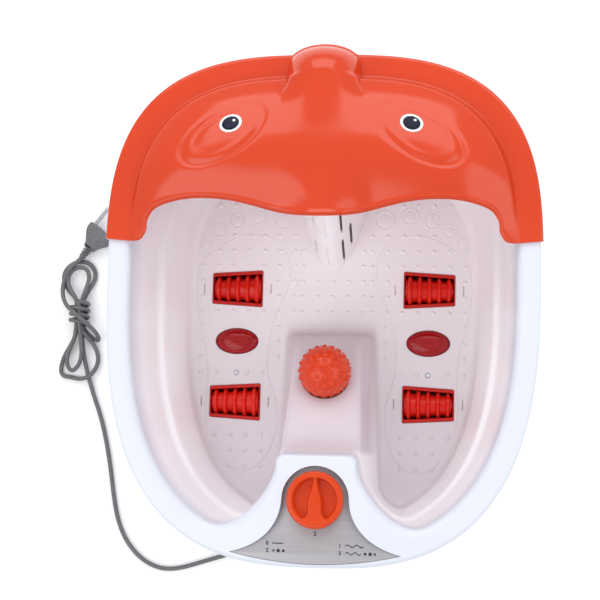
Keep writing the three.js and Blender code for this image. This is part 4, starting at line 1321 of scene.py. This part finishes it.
def cord_object(name, line, radius):
    curve = bpy.data.curves.new(name, "CURVE")
    curve.dimensions = "3D"
    curve.bevel_depth = radius * MM
    curve.bevel_resolution = 5
    curve.use_fill_caps = True
    spline = curve.splines.new("POLY")
    spline.points.add(len(line) - 1)
    for point, place in zip(spline.points, line):
        point.co = (*world(*place), 1)
    spline.use_smooth = True
    return new_object(name, curve)


def place_on_plug(point):
    ux, uy = 0.61, 0.792
    x, y, z = point
    return (-228.5 + x * ux - y * uy, 57.4 + x * uy + y * ux, 7.2 + z)


def build_plug():
    half = [(11, 4.2), (14, 5.2), (18, 8.0), (22, 11.0), (26, 12.6), (30, 12.8), (31.7, 11.4), (32, 8.5)]
    top = catmull([(x, y, 0) for x, y in half], 40)
    outline = [(p.x, p.y) for p in top] + [(p.x, -p.y) for p in reversed(top)]
    body = Shape().extruded(outline, -6.4, 6.4, 2.0)
    stations = [(0.0, 2.2), (0.6, 2.6), (1.4, 2.6)]
    for rib in range(4):
        start = 1.8 + rib * 2.7
        thick = 3.3 + rib * 0.35
        stations += [(start, thick - 0.3), (start + 0.3, thick), (start + 1.3, thick),
                     (start + 1.6, thick - 0.3), (start + 1.7, 2.4), (start + 2.6, 2.4)]
    stations += [(12.7, 4.2), (14.0, 4.6)]
    body.loft([[(x, a, b) for a, b in circle(radius, 28)] for x, radius in stations])
    body.points = [place_on_plug(p) for p in body.points]
    return body.piece("plug_housing", 40, "cord_grey", "plug_body")


def build_pins():
    pins = []
    stations = [(32.3, 1.7), (32.4, 2.0), (48.5, 2.0), (50.2, 1.8), (51.6, 1.2), (52.3, 0.5), (52.4, 0.05)]
    for word, y in (("left", 9.2), ("right", -9.2)):
        pin = Shape().loft([[(x, y + a, b) for a, b in circle(radius, 24)] for x, radius in stations])
        pin.points = [place_on_plug(p) for p in pin.points]
        pins.append(pin.piece(f"contact_pin_{word}", 40, "steel", f"plug_pin_{word}"))
    return pins


def build_relief():
    """The tapered, ribbed sleeve where the lead leaves the shell."""
    profile = [(0, -8), (6.3, -8), (6.5, -7.6), (6.5, -4.8), (6.2, -4.5), (4.2, -4.5), (4.2, 2.0)]
    for rib in range(5):
        start = 2.6 + rib * 3.4
        radius = 4.15 - rib * 0.22
        profile += [(radius - 0.5, start), (radius - 0.5, start + 0.9),
                    (radius, start + 1.2), (radius, start + 2.6)]
    profile += [(2.75, 19.8), (2.5, 20), (0, 20)]
    turn = Matrix.Rotation(pi * 1.25, 3, "Z") @ Matrix.Rotation(pi / 2, 3, "Y")
    sleeve = Shape().turned(profile, 32, (-53, -172.5, 14), turn)
    sleeve.piece("cord_sleeve", 35, "cord_grey", "strain_relief")


def build_lead():
    line = smooth_cord(LEAD_ROUTE + bundle_route() + wrap_route() + TAIL_ROUTE, 10)
    cord = cord_object("mains_lead", line, CORD_RADIUS)
    finish_piece(cord, "cord_grey", "power_cord cord_bundle")
    plug = build_plug()
    pins = build_pins()


# ---------------- pieces kept from the frame

KEPT = {
    "switch_shaft": "steel", "switch_body": "black_plastic", "ball_cup": "clear_plastic",
    "lens_gasket": "rubber", "infrared_lamp": "lamp_glass",
    "lamp_holder": "black_plastic", "heater_element": "steel",
    "heater_block": "black_plastic", "blower_housing": "black_plastic", "blower_cover": "black_plastic",
    "blower_motor": "steel", "impeller": "clear_plastic", "air_tube": "clear_plastic",
    "bubble_nozzle": "shell", "terminal_block": "clear_plastic",
}


def dress_kept_nodes():
    for node in frame["nodes"]:
        for start, material in KEPT.items():
            if node.startswith(start):
                mesh = bpy.data.objects[node].data
                mesh.materials.clear()
                mesh.materials.append(MATERIAL[material])


for build in (add_camera, build_lead, build_relief, add_floor, add_light, build_tub, build_shell, build_base,
              build_feet, build_screws, build_hood, build_eyes, build_plate, build_legends, build_knob,
              build_ball, build_rollers, build_lenses, build_guard, dress_kept_nodes):
    build()

bpy.context.view_layer.update()
